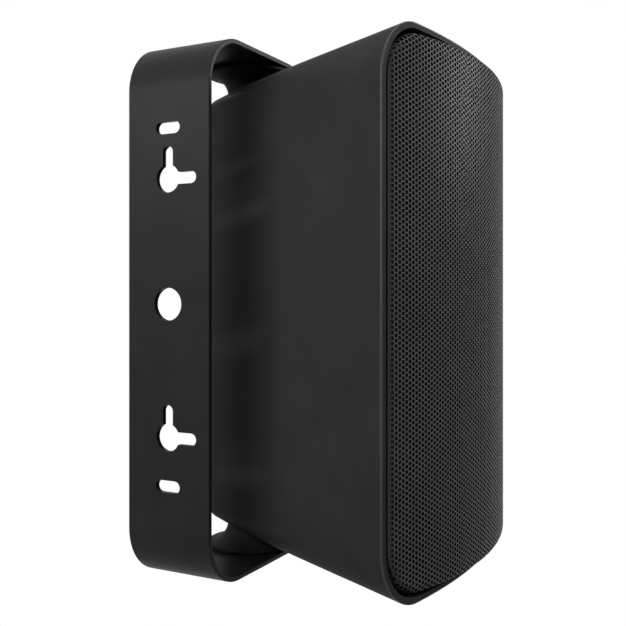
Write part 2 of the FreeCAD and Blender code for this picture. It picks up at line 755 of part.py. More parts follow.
def cabinet():
    whole = form("cabinet_form", "0.0")
    rim = bow("cabinet_bow", "rim_radius", "rim_radius - rim_bow - front_reach")
    outside = rim_rounded(common("cabinet_outside", whole, rim))
    room = common("cabinet_room", form("cabinet_hollow", "cabinet_wall"),
                  slice_box("cabinet_behind_ledge", "ledge_back", "cabinet_height"))
    bosses = [pivot_boss("cabinet_boss_upper", ""), pivot_boss("cabinet_boss_lower", "-")]
    seat = box("cabinet_terminal_seat", (
        "-notch_half_width - notch_wall", "notch_floor - notch_backing",
        "terminal_height - notch_half_length - notch_wall"), (
        "notch_half_width + notch_wall", "cabinet_height",
        "terminal_height + notch_half_length + notch_wall"))
    standoff_reach = "board_level + cabinet_height / 2"
    standoffs = [cylinder(f"cabinet_standoff_{count}", "standoff_radius", standoff_reach, "Z", *spot)
                 for count, spot in enumerate(board_corner_spots("-cabinet_height / 2"), 1)]
    pocket = common("cabinet_front_pocket", form("cabinet_front_form", "cabinet_wall"),
                    slice_box("cabinet_before_ledge", "-front_reach - front_width / 2", "ledge_front"))
    opening = box("cabinet_opening", ("-opening_half_width", "baffle_back", "-opening_half_height"),
                  ("opening_half_width", "ledge_back + overcut", "opening_half_height"))
    shell = cut("cabinet_shell", outside, cut("cabinet_void", room, seat, *standoffs), pocket, opening)
    notch = box("cabinet_notch", (
        "-notch_half_width", "notch_floor", "terminal_height - notch_half_length"), (
        "notch_half_width", "cabinet_height", "terminal_height + notch_half_length"))
    window = box("cabinet_window", (
        "-terminal_window_width / 2", "notch_floor - notch_backing - overcut",
        "terminal_height - terminal_window_length / 2"), (
        "terminal_window_width / 2", "notch_floor + overcut",
        "terminal_height + terminal_window_length / 2"))
    insert_reach = "insert_length + overcut"
    bolt_bore = "bolt_radius + bolt_clearance"
    bolt_reach = "bolt_grip + overcut"
    sockets = [
        cylinder("cabinet_insert_upper", "insert_radius", insert_reach, "Z", z="boss_top - insert_length"),
        cylinder("cabinet_insert_lower", "insert_radius", insert_reach, "Z", z="-boss_top - overcut"),
        cylinder("cabinet_bolt_upper", bolt_bore, bolt_reach, "Z", z="boss_top - bolt_grip - overcut"),
        cylinder("cabinet_bolt_lower", bolt_bore, bolt_reach, "Z", z="-boss_top")]
    pilots = [cylinder(f"cabinet_baffle_pilot_{count}", "screw_radius", "screw_length", "Y", *spot)
              for count, spot in enumerate(baffle_screw_spots("baffle_face + overcut"), 1)]
    thread = "small_screw_radius"
    spots = board_corner_spots("board_level - small_screw_length + overcut")
    pilots += [cylinder(f"cabinet_board_pilot_{count}", thread, "standoff_height", "Z", *spot)
               for count, spot in enumerate(spots, 1)]
    spots = terminal_corner_spots("plate_outer - small_screw_length")
    pilots += [cylinder(f"cabinet_terminal_pilot_{count}", thread, "small_screw_length", "Y", *spot)
               for count, spot in enumerate(spots, 1)]
    body = fused("cabinet_with_bosses", shell, *bosses)
    in_cabinet(cut("cabinet_whole", body, notch, window, *sockets, *pilots), "cabinet")


# Baffle, its gasket and its screws

def baffle():
    edge = "(cabinet_wall + fit_clearance)"
    plate = common("baffle_plate", form("baffle_form", edge),
                   slice_box("baffle_slice", "baffle_face", "baffle_back"))
    reach = "baffle_thickness + 2 * overcut"
    start = "baffle_face - overcut"
    holes = [
        cylinder("baffle_woofer_hole", "woofer_cutout", reach, "Y", y=start, z="woofer_height"),
        cylinder("baffle_tweeter_hole", "tweeter_cutout", reach, "Y", y=start, z="tweeter_height")]
    screw_hole = "screw_radius + screw_hole_clearance"
    holes += [cylinder(f"baffle_screw_hole_{count}", screw_hole, reach, "Y", *spot)
              for count, spot in enumerate(baffle_screw_spots(start), 1)]
    driver_spots = driver_screw_spots("baffle_face - overcut")
    holes += [cylinder(f"baffle_driver_hole_{count}", "screw_radius", reach, "Y", *spot)
              for count, spot in enumerate(driver_spots, 1)]
    in_cabinet(cut("baffle_whole", plate, *holes), "front_baffle")
    strip = common("gasket_strip", form("gasket_form", edge),
                   slice_box("gasket_slice", "baffle_back", "ledge_front"))
    middle = box("gasket_opening", ("-opening_half_width", "baffle_back - overcut", "-opening_half_height"),
                 ("opening_half_width", "ledge_front + overcut", "opening_half_height"))
    gaps = [cylinder(f"gasket_hole_{count}", "screw_radius + screw_hole_clearance", reach, "Y", *spot)
            for count, spot in enumerate(baffle_screw_spots("baffle_back - overcut"), 1)]
    in_cabinet(cut("gasket_whole", strip, middle, *gaps), "baffle_gasket")
    corners = fastener("screw_head_radius", "screw_head_height", "screw_radius", "screw_length")
    in_cabinet(screw_group("baffle_screw", corners, baffle_screw_spots("baffle_face")), "baffle_screws")


# Grille: bowed steel sheet with a folded edge, one upright gap for each column of holes

def grille_gaps():
    """The gaps as upright blocks, shorter where the corners are round."""
    inset = value("cabinet_wall + grille_gap + grille_border")
    lean = value("side_draft")
    half_width = value(f"front_width / 2 - {inset} / cos(side_draft)")
    half_height = value("cabinet_height / 2") - inset
    corner = value("corner_radius") - inset
    corner_across = corner / value(f"cos({lean})")
    pitch = value("grille_pitch")
    gap = value("grille_slot")
    count = int((half_width - gap / 2) / pitch)
    blocks = []
    for index in range(-count, count + 1):
        into_corner = max(abs(index * pitch) + gap / 2 - half_width + corner_across, 0) / corner_across
        half = half_height - corner * (1 - (1 - min(into_corner, 1) ** 2) ** 0.5)
        spot = FreeCAD.Vector(index * pitch - gap / 2, value("-front_reach - grille_bow * 2"), -half)
        depth = value("grille_bow * 2 + baffle_set_back - grille_sheet")
        blocks.append(Part.makeBox(gap, depth, 2 * half, spot))
    gaps = doc.addObject("Part::Feature", "grille_gaps")
    gaps.Shape = Part.makeCompound(blocks)
    return gaps


def grille_edge_rounded(shape):
    """The grille's block with the edge between its face and its skirt rounded."""
    doc.recompute()
    radius = value("grille_radius")
    axis = value("grille_axis")

    def on_face(edge):
        middle = edge.valueAt((edge.FirstParameter + edge.LastParameter) / 2)
        spots = [middle] + [vertex.Point for vertex in edge.Vertexes]
        return all(abs(FreeCAD.Vector(p.x, p.y - axis, 0).Length - radius) < 1e-4 for p in spots)

    rounding = doc.addObject("Part::Fillet", "grille_rounding")
    rounding.Base = shape
    edges = [index for index, edge in enumerate(shape.Shape.Edges, 1) if on_face(edge)]
    rounding.Edges = [(index, value("grille_edge"), value("grille_edge")) for index in edges]
    return rounding


def grille():
    skirt = "(cabinet_wall + grille_gap)"
    inner = f"({skirt} + grille_sheet)"
    front = slice_box("grille_front", "-front_reach - front_width / 2", "baffle_face")
    face = common("grille_face", form("grille_form", skirt),
                  bow("grille_bow_form", "grille_radius", "grille_axis"))
    block = grille_edge_rounded(common("grille_block", face, front))
    behind = slice_box("grille_behind", "-front_reach - front_width / 2", "baffle_face + overcut")
    hollow = common("grille_hollow", common(
        "grille_inside", form("grille_inner_form", inner),
        bow("grille_inner_bow", "grille_radius - grille_sheet", "grille_axis")), behind)
    in_cabinet(cut("grille_whole", block, hollow, grille_gaps()), "grille")
    cloth_front = "grille_radius - grille_sheet - cloth_gap"
    sheet = common("cloth_front", form("cloth_form", f"({inner} + cloth_gap)"),
                   bow("cloth_bow", cloth_front, "grille_axis"))
    sheet = common("cloth_block", sheet,
                   slice_box("cloth_slice", "-front_reach - front_width / 2", "baffle_face - overcut"))
    back = bow("cloth_back", f"{cloth_front} - cloth_thickness", "grille_axis")
    in_cabinet(cut("cloth_whole", sheet, back), "grille_cloth")


# Woofer

def driver_screw_spots(y):
    woofer = ring_spots("woofer_screw_circle", 4, 45, y, "woofer_height")
    return woofer + ring_spots("tweeter_screw_circle", 4, 45, y, "tweeter_height")


def woofer_frame():
    body = turned_body("woofer_basket", "Y", [
        ("woofer_radius", "baffle_face"), ("woofer_radius", "woofer_face"), ("basket_bore", "woofer_face"),
        ("basket_bore", "baffle_face"), ("basket_rear_radius - basket_wall", "basket_back - basket_wall"),
        ("basket_rear_bore", "basket_back - basket_wall"), ("basket_rear_bore", "basket_back"),
        ("basket_rear_radius", "basket_back"), ("basket_bore + basket_wall", "baffle_face")])
    window = body_sketch(body, "XZ_Plane", "woofer_basket_window")
    inner = "basket_rear_radius + basket_wall"
    outer = "sqrt((basket_bore - window_edge) ^ 2 - (window_width / 2) ^ 2)"
    narrow = "window_narrow_width / 2"
    outline(window, [(inner, f"-{narrow}"), (outer, "-window_width / 2"), (outer, "window_width / 2"),
                     (inner, narrow)])
    pocket = pocket_through(body, window, "woofer_basket_window_cut")
    windows = body.newObject("PartDesign::PolarPattern", "woofer_basket_windows")
    windows.Originals = [pocket]
    windows.Axis = (window, ["N_Axis"])
    windows.Angle = 360
    bind(windows, Occurrences="basket_windows")
    body.Tip = windows
    holes = body_sketch(body, "XZ_Plane", "woofer_basket_holes")
    for x, _, z in ring_spots("woofer_screw_circle", 4, 45, "0", "0"):
        circle(holes, x, z, "(screw_radius + screw_hole_clearance) * 2")
    pocket_through(body, holes, "woofer_basket_screw_holes")
    in_cabinet(body, "woofer_frame", "woofer_height")


def woofer_motor():
    gap_wall = "pole_radius + coil_gap"
    in_cabinet(turned_body("woofer_top_plate_body", "Y", [
        (gap_wall, "basket_back"), ("top_plate_radius", "basket_back"), ("top_plate_radius", "plate_back"),
        (gap_wall, "plate_back")]), "woofer_top_plate", "woofer_height")
    in_cabinet(turned_body("woofer_magnet_body", "Y", [
        ("magnet_bore", "plate_back"), ("magnet_radius - magnet_chamfer", "plate_back"),
        ("magnet_radius", "plate_back + magnet_chamfer"), ("magnet_radius", "magnet_back - magnet_chamfer"),
        ("magnet_radius - magnet_chamfer", "magnet_back"), ("magnet_bore", "magnet_back")]),
        "woofer_magnet", "woofer_height")
    in_cabinet(turned_body("woofer_yoke_body", "Y", [
        ("0", "basket_back"), ("pole_radius", "basket_back"), ("pole_radius", "magnet_back"),
        ("yoke_radius", "magnet_back"), ("yoke_radius", "magnet_back + yoke_thickness - yoke_chamfer"),
        ("yoke_radius - yoke_chamfer", "magnet_back + yoke_thickness"),
        ("0", "magnet_back + yoke_thickness")]),
        "woofer_yoke", "woofer_height")


def woofer_moving():
    in_cabinet(turned_body("woofer_coil_body", "Y", [
        ("coil_inner", "basket_back + coil_overhang"), ("coil_outer", "basket_back + coil_overhang"),
        ("coil_outer", "basket_back + coil_overhang - coil_length"),
        ("coil_inner", "basket_back + coil_overhang - coil_length")]), "woofer_voice_coil", "woofer_height")
    in_cabinet(turned_body("woofer_cone_body", "Y", [
        ("cone_radius", "cone_edge"), ("cone_radius", "cone_edge + cone_wall"), ("coil_outer", "cone_neck"),
        ("coil_outer", "cone_neck - cone_wall")]), "woofer_cone", "woofer_height")
    in_cabinet(turned_body("woofer_cap_body", "Y", [
        ("0", "cap_top", "left", "cap_crown"), ("cap_radius", "cap_edge"),
        ("cap_radius - cap_wall", "cap_edge + cap_wall * cone_slope", "right", "cap_crown - cap_wall"),
        ("0", "cap_top + cap_wall")]), "woofer_dust_cap", "woofer_height")


def woofer_suspension():
    rest = "woofer_face"
    skin = "surround_wall"
    in_cabinet(turned_body("woofer_surround_body", "Y", [
        ("cone_radius", "cone_edge", "left", "surround_roll"), ("surround_outer", f"{rest} - {skin}"),
        ("surround_outer + surround_landing", f"{rest} - {skin}"),
        ("surround_outer + surround_landing", rest),
        ("surround_outer", rest, "right", "surround_roll"), ("cone_radius", f"cone_edge + {skin}")]),
        "woofer_surround", "woofer_height")
    ripples = int(value("spider_ripples"))
    floor = "basket_back - basket_wall"
    landing = "basket_rear_radius - basket_wall - spider_gap"
    shore = f"({landing} - spider_foot)"
    front = []
    for index in range(ripples + 1):
        radius = f"coil_outer + ({shore} - coil_outer) * {index} / {ripples}"
        depth = f"{floor} - spider_wall - {'spider_ripple' if index % 2 else 'spider_crest'}"
        front.append((radius, depth))
    front[-1] = (shore, f"{floor} - spider_wall")
    front.append((landing, f"{floor} - spider_wall"))
    back = [(radius, f"{depth} + spider_wall") for radius, depth in reversed(front)]
    in_cabinet(turned_body("woofer_spider_body", "Y", front + back), "woofer_spider", "woofer_height")


def driver_screws():
    corners = fastener("screw_head_radius", "screw_head_height", "screw_radius",
                       "woofer_flange + baffle_thickness")
    woofer = ring_spots("woofer_screw_circle", 4, 45, "woofer_face", "woofer_height")
    in_cabinet(screw_group("woofer_screw", corners, woofer), "woofer_screws")
    tweeter = ring_spots("tweeter_screw_circle", 4, 45, "baffle_face - tweeter_plate", "tweeter_height")
    in_cabinet(screw_group("tweeter_screw", corners, tweeter), "tweeter_screws")


# Tweeter

def tweeter():
    face = "baffle_face - tweeter_plate"
    plate = turned_body("tweeter_plate_body", "Y", [
        ("tweeter_radius", "baffle_face"), ("tweeter_radius", face), ("tweeter_horn_mouth", face),
        ("tweeter_horn_throat", "baffle_face - tweeter_horn_lip"), ("tweeter_horn_throat", "baffle_face")])
    holes = body_sketch(plate, "XZ_Plane", "tweeter_plate_holes")
    for x, _, z in ring_spots("tweeter_screw_circle", 4, 45, "0", "0"):
        circle(holes, x, z, "(screw_radius + screw_hole_clearance) * 2")
    pocket_through(plate, holes, "tweeter_plate_screw_holes")
    in_cabinet(plate, "tweeter_faceplate", "tweeter_height")
    rim = "baffle_face + dome_wall"
    in_cabinet(turned_body("tweeter_dome_body", "Y", [
        ("0", "dome_top", "left", "dome_crown"), ("dome_radius", "baffle_face"),
        ("dome_rim_radius", "baffle_face"), ("dome_rim_radius", rim),
        ("dome_radius - dome_wall", rim, "right", "dome_crown - dome_wall"),
        ("0", "dome_top + dome_wall")]), "tweeter_dome", "tweeter_height")
    well = "dome_radius + dome_clearance"
    in_cabinet(turned_body("tweeter_motor_body", "Y", [
        ("0", f"{rim} + dome_well"), (well, f"{rim} + dome_well"), (well, rim), ("motor_radius", rim),
        ("motor_radius", f"{rim} + motor_depth - motor_chamfer"),
        ("motor_radius - motor_chamfer", f"{rim} + motor_depth"),
        ("0", f"{rim} + motor_depth")]), "tweeter_motor", "tweeter_height")


# Crossover board on its standoffs, with its parts

def crossover():
    half = "board_width / 2"
    end = "board_start + board_length"
    board = box("board_blank", (f"-{half}", "board_start", "board_level"), (half, end, "board_top"))
    screw_hole = "small_screw_radius + screw_hole_clearance"
    reach = "board_thickness + 2 * overcut"
    holes = [cylinder(f"board_hole_{count}", screw_hole, reach, "Z", *spot)
             for count, spot in enumerate(board_corner_spots("board_level - overcut"), 1)]
    in_cabinet(cut("board_whole", board, *holes), "crossover_board")
    screw = [(x, f"-({z})") for x, z in fastener("small_head_radius", "small_head_height",
                                                 "small_screw_radius", "small_screw_length")]
    in_cabinet(screw_group("board_screw", screw, board_corner_spots("board_top"), "XZ"), "board_screws")
    coil_x = "-board_width / 4"
    coil_y = "board_start + coil_start + coil_form_radius"
    winding = cylinder("coil_winding", "coil_form_radius", "coil_form_height", "Z",
                       coil_x, coil_y, "board_top")
    bore = cylinder("coil_bore", "coil_form_bore", "coil_form_height + 2 * overcut", "Z",
                    coil_x, coil_y, "board_top - overcut")
    in_cabinet(cut("coil_whole", winding, bore), "crossover_coil")
    in_cabinet(leaded("film_capacitor", "Y", "film_capacitor_radius", "film_capacitor_length",
                      "board_width / 6", "board_start + capacitor_start"), "crossover_capacitor")
    in_cabinet(leaded("small_capacitor", "Y", "small_capacitor_radius", "small_capacitor_length",
                      "board_width / 2 - board_edge - small_capacitor_radius",
                      "board_start + small_capacitor_start"), "tweeter_capacitor")
    in_cabinet(leaded("resistor", "X", "resistor_radius", "resistor_length",
                      "board_width / 8 - resistor_length / 2",
                      f"{end} - resistor_edge - resistor_radius"), "crossover_resistor")


def leaded(name, axis, radius, length, x, y):
    """A round component lying along X or Y on the board, with a wire lead bent down at each end."""
    height = f"board_top + component_lift + {radius}"
    wire = "lead_radius"
    reach = f"{length} + lead_reach * 2"
    if axis == "X":
        feet = ((f"{x} - lead_reach + {wire}", y), (f"{x} + {length} + lead_reach - {wire}", y))
        start = (f"{x} - lead_reach", y)
    else:
        feet = ((x, f"{y} - lead_reach + {wire}"), (x, f"{y} + {length} + lead_reach - {wire}"))
        start = (x, f"{y} - lead_reach")
    rise = f"component_lift + {radius}"
    legs = [cylinder(f"{name}_leg_{count}", "leg_radius", rise, "Z", *spot, "board_top")
            for count, spot in enumerate(feet, 1)]
    return fused(name, cylinder(name + "_case", radius, length, axis, x, y, height),
                 cylinder(name + "_wire", wire, reach, axis, *start, height), *legs)


# Rear terminal: a plate in the notch of the nose, with a two-way screw terminal

def terminal():
    half = "(notch_half_width - terminal_margin)"
    long = "(notch_half_length - terminal_margin)"
    plate = box("terminal_blank", (f"-{half}", "notch_floor", f"terminal_height - {long}"),
                (half, "plate_outer", f"terminal_height + {long}"))
    screw_hole = "small_screw_radius + screw_hole_clearance"
    reach = "terminal_plate + 2 * overcut"
    holes = [cylinder(f"terminal_hole_{count}", screw_hole, reach, "Y", *spot)
             for count, spot in enumerate(terminal_corner_spots("notch_floor - overcut"), 1)]
    in_cabinet(cut("terminal_plate_whole", plate, *holes), "terminal_plate")
    corners = fastener("small_head_radius", "small_head_height", "small_screw_radius",
                       "small_screw_length")
    in_cabinet(screw_group("terminal_screw", corners, terminal_corner_spots("plate_outer"), about=(0, 0, 1)),
               "terminal_screws")
    top = "plate_outer + block_thickness"
    block = box("block_blank", ("-block_width / 2", "plate_outer", "terminal_height - block_length / 2"),
                ("block_width / 2", top, "terminal_height + block_length / 2"))
    bays = []
    clamps = []
    bay = "(block_length - block_rib * 3) / 2"
    for count, sign in enumerate(("+", "-"), 1):
        low = f"terminal_height {sign} (block_rib / 2 + {bay} / 2) - {bay} / 2"
        bays.append(box(f"block_bay_{count}", (
            "-block_width / 2 - overcut", "plate_outer + block_floor", low), (
            "block_width / 2 - block_rib", f"{top} + overcut", f"{low} + {bay}")))
        clamps.append(("0", "plate_outer + block_floor + clamp_lift", f"{low} + {bay} / 2"))
    through = "block_floor + 2 * overcut"
    pilots = [cylinder(f"block_pilot_{count}", "small_screw_radius", through, "Y", x, "plate_outer", z)
              for count, (x, _, z) in enumerate(clamps, 1)]
    in_cabinet(cut("block_whole", block, *bays, *pilots), "terminal_block")
    clamp = fastener("screw_head_radius", "screw_head_height", "small_screw_radius", "block_floor")
    in_cabinet(screw_group("clamp_screw", clamp, clamps, about=(0, 0, 1)), "clamp_screws")


# Wadding: a soft block between the side walls behind the tweeter

def wadding():
    def reach(depth):
        return (f"(front_width / 2 - {depth} * tan(side_draft)"
                f" - (cabinet_wall + fit_clearance) / cos(side_draft))")

    near = ("wadding_front - front_reach", reach("wadding_front"))
    far = ("wadding_back - front_reach", reach("wadding_back"))
    block = extruded("wadding_block", "XY", [
        (f"-{near[1]}", near[0]), (near[1], near[0]), (far[1], far[0]), (f"-{far[1]}", far[0])],
        "wadding_high", "-wadding_low")
    in_cabinet(block, "damping_wadding")


# Insulated wires from the terminal to the board and from the board to the drivers

def wire(name, *spots):
    """A wire through the spots, each straight along one axis from the one before, with round bends."""
    bend = value("wire_bend")
    points = [FreeCAD.Vector(*(value(place) for place in spot)) for spot in spots]
    path = []
    start = points[0]
    for before, corner, after in zip(points, points[1:], points[2:]):
        into = (corner - before).normalize()
        onward = (after - corner).normalize()
        first = corner - into * bend
        last = corner + onward * bend
        middle = corner + (onward - into) * bend * (1 - 0.5 ** 0.5)
        path.append(Part.LineSegment(start, first).toShape())
        path.append(Part.Arc(first, middle, last).toShape())
        start = last
    path.append(Part.LineSegment(start, points[-1]).toShape())
    section = Part.Wire(Part.Circle(points[0], points[1] - points[0], value("wire_radius")).toShape())
    item = doc.addObject("Part::Feature", name)
    item.Shape = Part.Wire(path).makePipeShell([section], True, False)
    return item


def wire_pair(name, one, other):
    pair = doc.addObject("Part::Compound", name)
    pair.Links = [wire(name + "_one", *one), wire(name + "_other", *other)]
    in_cabinet(pair, name)


def wires():
    over_board = "board_top + wire_rise"
    rear = "board_start + board_length - wire_inset"
    drop = "magnet_back + yoke_thickness + wire_reach"

    def to_board(x):
        return [(x, "notch_floor", "terminal_height"), (x, drop, "terminal_height"), (x, drop, over_board),
                (x, rear, over_board), (x, rear, "board_top")]

    wire_pair("input_wires", to_board("-wire_spacing / 2"), to_board("wire_spacing / 2"))
    near = "board_start + wire_inset"
    flare = "(basket_bore + basket_wall - basket_rear_radius)"
    rib = f"(basket_rear_radius + (basket_back - {near}) / basket_depth * {flare})"
    tag = f"woofer_height - {rib} - wire_tip_gap"

    def to_woofer(x):
        return [(x, near, "board_top"), (x, near, tag)]

    wire_pair("woofer_wires", to_woofer("-wire_spacing"), to_woofer("wire_spacing"))

    def to_tweeter(step):
        level = f"{over_board} + {step}"
        line = "board_start + board_length - board_screw_inset"
        start = f"{step} - wire_spacing / 2 - board_width / 4"
        aside = f"{step} - board_width / 4 - coil_form_radius - wire_room * 3 / 4"
        outer = f"{step} - magnet_radius - wire_room"
        behind = f"basket_back + {step}"
        height = f"tweeter_height + {step}"
        end = f"{step} - wire_spacing * 3"
        return [(start, line, "board_top"), (start, line, level), (aside, line, level),
                (aside, behind, level), (outer, behind, level), (outer, behind, height),
                (end, behind, height), (end, "baffle_face + dome_wall + motor_depth", height)]

    wire_pair("tweeter_wires", to_tweeter("0"), to_tweeter("wire_spacing"))


wall_bracket()
swivel_hardware()
cabinet()
baffle()
grille()
woofer_frame()
woofer_motor()
woofer_moving()
woofer_suspension()
driver_screws()
tweeter()
crossover()
terminal()
wires()
wadding()
doc.recompute()

failed = [item.Label for item in doc.Objects if "Invalid" in item.State or "Error" in item.State]
for item in nodes:
    if item.Shape.isNull() or not item.Shape.isValid() or not item.Shape.Solids:
        failed.append(item.Label)
if failed:
    raise RuntimeError("failed: " + ", ".join(failed))

os.makedirs("parts", exist_ok=True)
for item in nodes:
    item.Shape.exportStep(f"parts/{item.Label}.step")
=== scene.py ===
import json
import math

import bmesh
import bpy
from bpy.props import FloatProperty, FloatVectorProperty, IntProperty, PointerProperty
from bpy.types import Operator, Panel, PropertyGroup
from mathutils import Matrix, Vector


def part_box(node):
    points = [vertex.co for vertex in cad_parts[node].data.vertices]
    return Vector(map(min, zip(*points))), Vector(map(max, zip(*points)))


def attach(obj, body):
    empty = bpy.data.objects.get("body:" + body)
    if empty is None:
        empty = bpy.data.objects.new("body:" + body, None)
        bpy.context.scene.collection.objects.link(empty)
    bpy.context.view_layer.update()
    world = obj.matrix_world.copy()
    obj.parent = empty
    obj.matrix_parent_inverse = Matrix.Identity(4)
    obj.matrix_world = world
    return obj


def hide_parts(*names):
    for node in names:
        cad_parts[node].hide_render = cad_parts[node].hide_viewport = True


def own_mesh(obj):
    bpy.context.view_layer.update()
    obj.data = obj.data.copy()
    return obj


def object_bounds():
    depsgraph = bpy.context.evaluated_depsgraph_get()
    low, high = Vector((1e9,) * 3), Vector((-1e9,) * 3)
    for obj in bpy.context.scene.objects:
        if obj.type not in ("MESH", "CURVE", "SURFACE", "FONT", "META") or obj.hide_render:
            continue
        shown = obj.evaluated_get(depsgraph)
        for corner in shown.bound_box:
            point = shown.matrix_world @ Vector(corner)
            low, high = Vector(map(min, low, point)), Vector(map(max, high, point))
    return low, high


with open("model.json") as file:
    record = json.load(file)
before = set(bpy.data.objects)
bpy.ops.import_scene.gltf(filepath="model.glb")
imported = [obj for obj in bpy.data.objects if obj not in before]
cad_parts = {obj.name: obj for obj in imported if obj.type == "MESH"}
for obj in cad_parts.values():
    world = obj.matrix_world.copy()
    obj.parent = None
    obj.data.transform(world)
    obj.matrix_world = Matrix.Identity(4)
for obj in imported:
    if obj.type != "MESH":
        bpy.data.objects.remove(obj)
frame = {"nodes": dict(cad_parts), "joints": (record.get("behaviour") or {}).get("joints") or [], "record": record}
CAD_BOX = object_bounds()
NODES = frame["nodes"]
SWIVEL = Vector(next(joint["pos_m"] for joint in frame["joints"] if joint["name"] == "swivel"))

bl_info = {
    "name": "Wall Speaker Dressing",
    "version": (1, 0, 0),
    "blender": (4, 5, 0),
    "location": "View3D > Sidebar > Speaker",
    "description": "Perforated grille, fasteners, finishes and studio for a wall speaker on a U bracket",
    "category": "Add Mesh",
}

# The cabinet is drawn facing -Y with the swivel axis at its origin, then turned to face -X in the bracket.
CABINET = Matrix.Translation((SWIVEL.x, SWIVEL.y, 0)) @ Matrix.Rotation(-math.pi / 2, 4, "Z")
# The two pivots, each with its way from the cabinet's middle.
LEVELS = (("upper", 1), ("lower", -1))

# Marks on faces: the walls of the sheet's holes, which get painted shade, and the rounded edge round the cabinet's
# front.
PAINTED_HOLE_SHADE = "hole_wall"
RIM_EDGE = "rim_edge"
# A face is the wall of a hole, painted as shade, where its normal shares less than this with the sheet's normal.
WALL_FACING = 0.3
# Points closer than this are one point, and so are corners of cells within this share of the pitch.
SAME_POINT = 1e-7
SAME_CORNER = 0.02
# Cells past the sheet's edges, for the trim to cut.
SPARE_CELLS = 2
# Sides of the sheet's cells and of a bolt's socket.
HEXAGON = 6
# The form of a button head, in shares of its radius and height and of its socket's radius.
HEAD_BEARING = 0.96
HEAD_CROWN = 0.62
HEAD_EDGE = 0.08
SOCKET_MOUTH = 1.12
SOCKET_EDGE = 0.97
SOCKET_DEPTH = 0.55
# Points along the rounding of a button head.
HEAD_STEPS = 5
# Most of a noise lies between these values.
NOISE_LOW = 0.3
NOISE_HIGH = 0.7
WHITE = (1, 1, 1, 1)


def length(name, description, default):
    return FloatProperty(name=name, description=description, default=default, subtype="DISTANCE",
                         unit="LENGTH")


def slope(name, description, degrees):
    return FloatProperty(name=name, description=description, default=math.radians(degrees),
                         subtype="ANGLE", unit="ROTATION")


def ratio(name, description, default):
    return FloatProperty(name=name, description=description, default=default, subtype="FACTOR",
                         min=0.0, max=1.0)


def power(name, description, default):
    return FloatProperty(name=name, description=description, default=default, subtype="POWER", unit="POWER")


def colour(name, description, default):
    return FloatVectorProperty(name=name, description=description, default=default, size=3, subtype="COLOR",
                               min=0.0, max=1.0)


def point(name, description, default):
    return FloatVectorProperty(name=name, description=description, default=default, size=3, subtype="XYZ",
                               unit="LENGTH")


def extent(name, description, default):
    return FloatVectorProperty(name=name, description=description, default=default, size=2, subtype="XYZ",
                               unit="LENGTH")


class FrontSettings(PropertyGroup):
    """Sizes of the cabinet's front, which follow the solids, and of the perforated sheet in it."""
    front_width: length("Front width", "Width of the cabinet's front across its chord", 0.173)
    front_reach: length("Front reach", "From the swivel axis to the front's chord", 0.1132)
    cabinet_height: length("Cabinet height", "Height of the cabinet at its front", 0.2386)
    side_draft: slope("Side draft", "Lean of the cabinet's side walls", 29)
    top_draft: slope("Top draft", "Slope of the cabinet's top and bottom", 3.6)
    corner_radius: length("Corner radius", "Radius of the cabinet's long edges at its front", 0.026)
    rim_bow: length("Rim bow", "How far the cabinet's rim bows out of the front's chord", 0.0108)
    rim_edge: length("Rim edge", "Reach of the rounded edge round the cabinet's front", 0.00085)
    lip_slim: length("Lip slimming", "How much slimmer the rim's lip is than the solids' wall", 0.0013)
    lip_least: length("Lip least", "Least distance of the wall's inside from its outside", 0.003)
    lip_most: length("Lip most", "Greatest distance of the wall's inside from its outside", 0.005)
    lip_depth: length("Lip depth", "From the front's chord back to where the slimming ends", 0.012)
    inset: length("Inset", "From the cabinet's sides to the grille's folded edge", 0.0062)
    top_inset: length("Top inset", "From the cabinet's top to the grille's folded edge", 0.0042)
    bow: length("Bow", "How far the sheet bows out of its chord", 0.0165)
    seat: length("Seat", "From the front's chord back to the baffle that the folded edge stands on", 0.005)
    fold: length("Fold", "Outer radius of the folded edge", 0.003)
    sheet: length("Sheet", "Thickness of the sheet", 0.0006)
    pitch: length("Pitch", "Height from hole to hole in a column", 0.00217)
    step: length("Step", "From one column of holes to the next", 0.00204)
    web: length("Web", "Width of the bridges between the holes", 0.0005)
    border: length("Border", "How far round the fold the holes go", 0.0042)


class FastenerSettings(PropertyGroup):
    """Sizes of the pivot bolts and their washers."""
    segments: IntProperty(name="Segments", description="Sides of a round head", default=36, min=12)
    bolt_radius: length("Bolt radius", "Radius of the bolts' shanks", 0.00295)
    bolt_chamfer: length("Bolt chamfer", "Chamfer round the ends of the shanks", 0.0004)
    bolt_socket: length("Bolt socket", "Width across flats of the bolts' sockets", 0.004)
    washer_bore: length("Washer bore", "Radius of the washers' holes", 0.0034)
    washer_round: length("Washer rounding", "Rounding of the washers' edges", 0.0003)


class BossSettings(PropertyGroup):
    """Sizes of the flares under the pivot bosses' flanges."""
    neck_radius: length("Neck radius", "Radius of a boss where it leaves the cabinet", 0.0122)
    rim_radius: length("Rim radius", "Radius of the flare at the flange", 0.0227)
    flange: length("Flange", "Thickness of the flange above the flare", 0.0012)
    arc_points: IntProperty(name="Arc points", description="Points along the flare", default=10, min=4)
    segments: IntProperty(name="Segments", description="Sides of a flare", default=72, min=24)


class SpiderSettings(PropertyGroup):
    """Share of the woofer's spider's height to keep at the cone's limits."""
    keep: ratio("Height kept", "Share of the spider's height left at the cone's limits", 0.7)


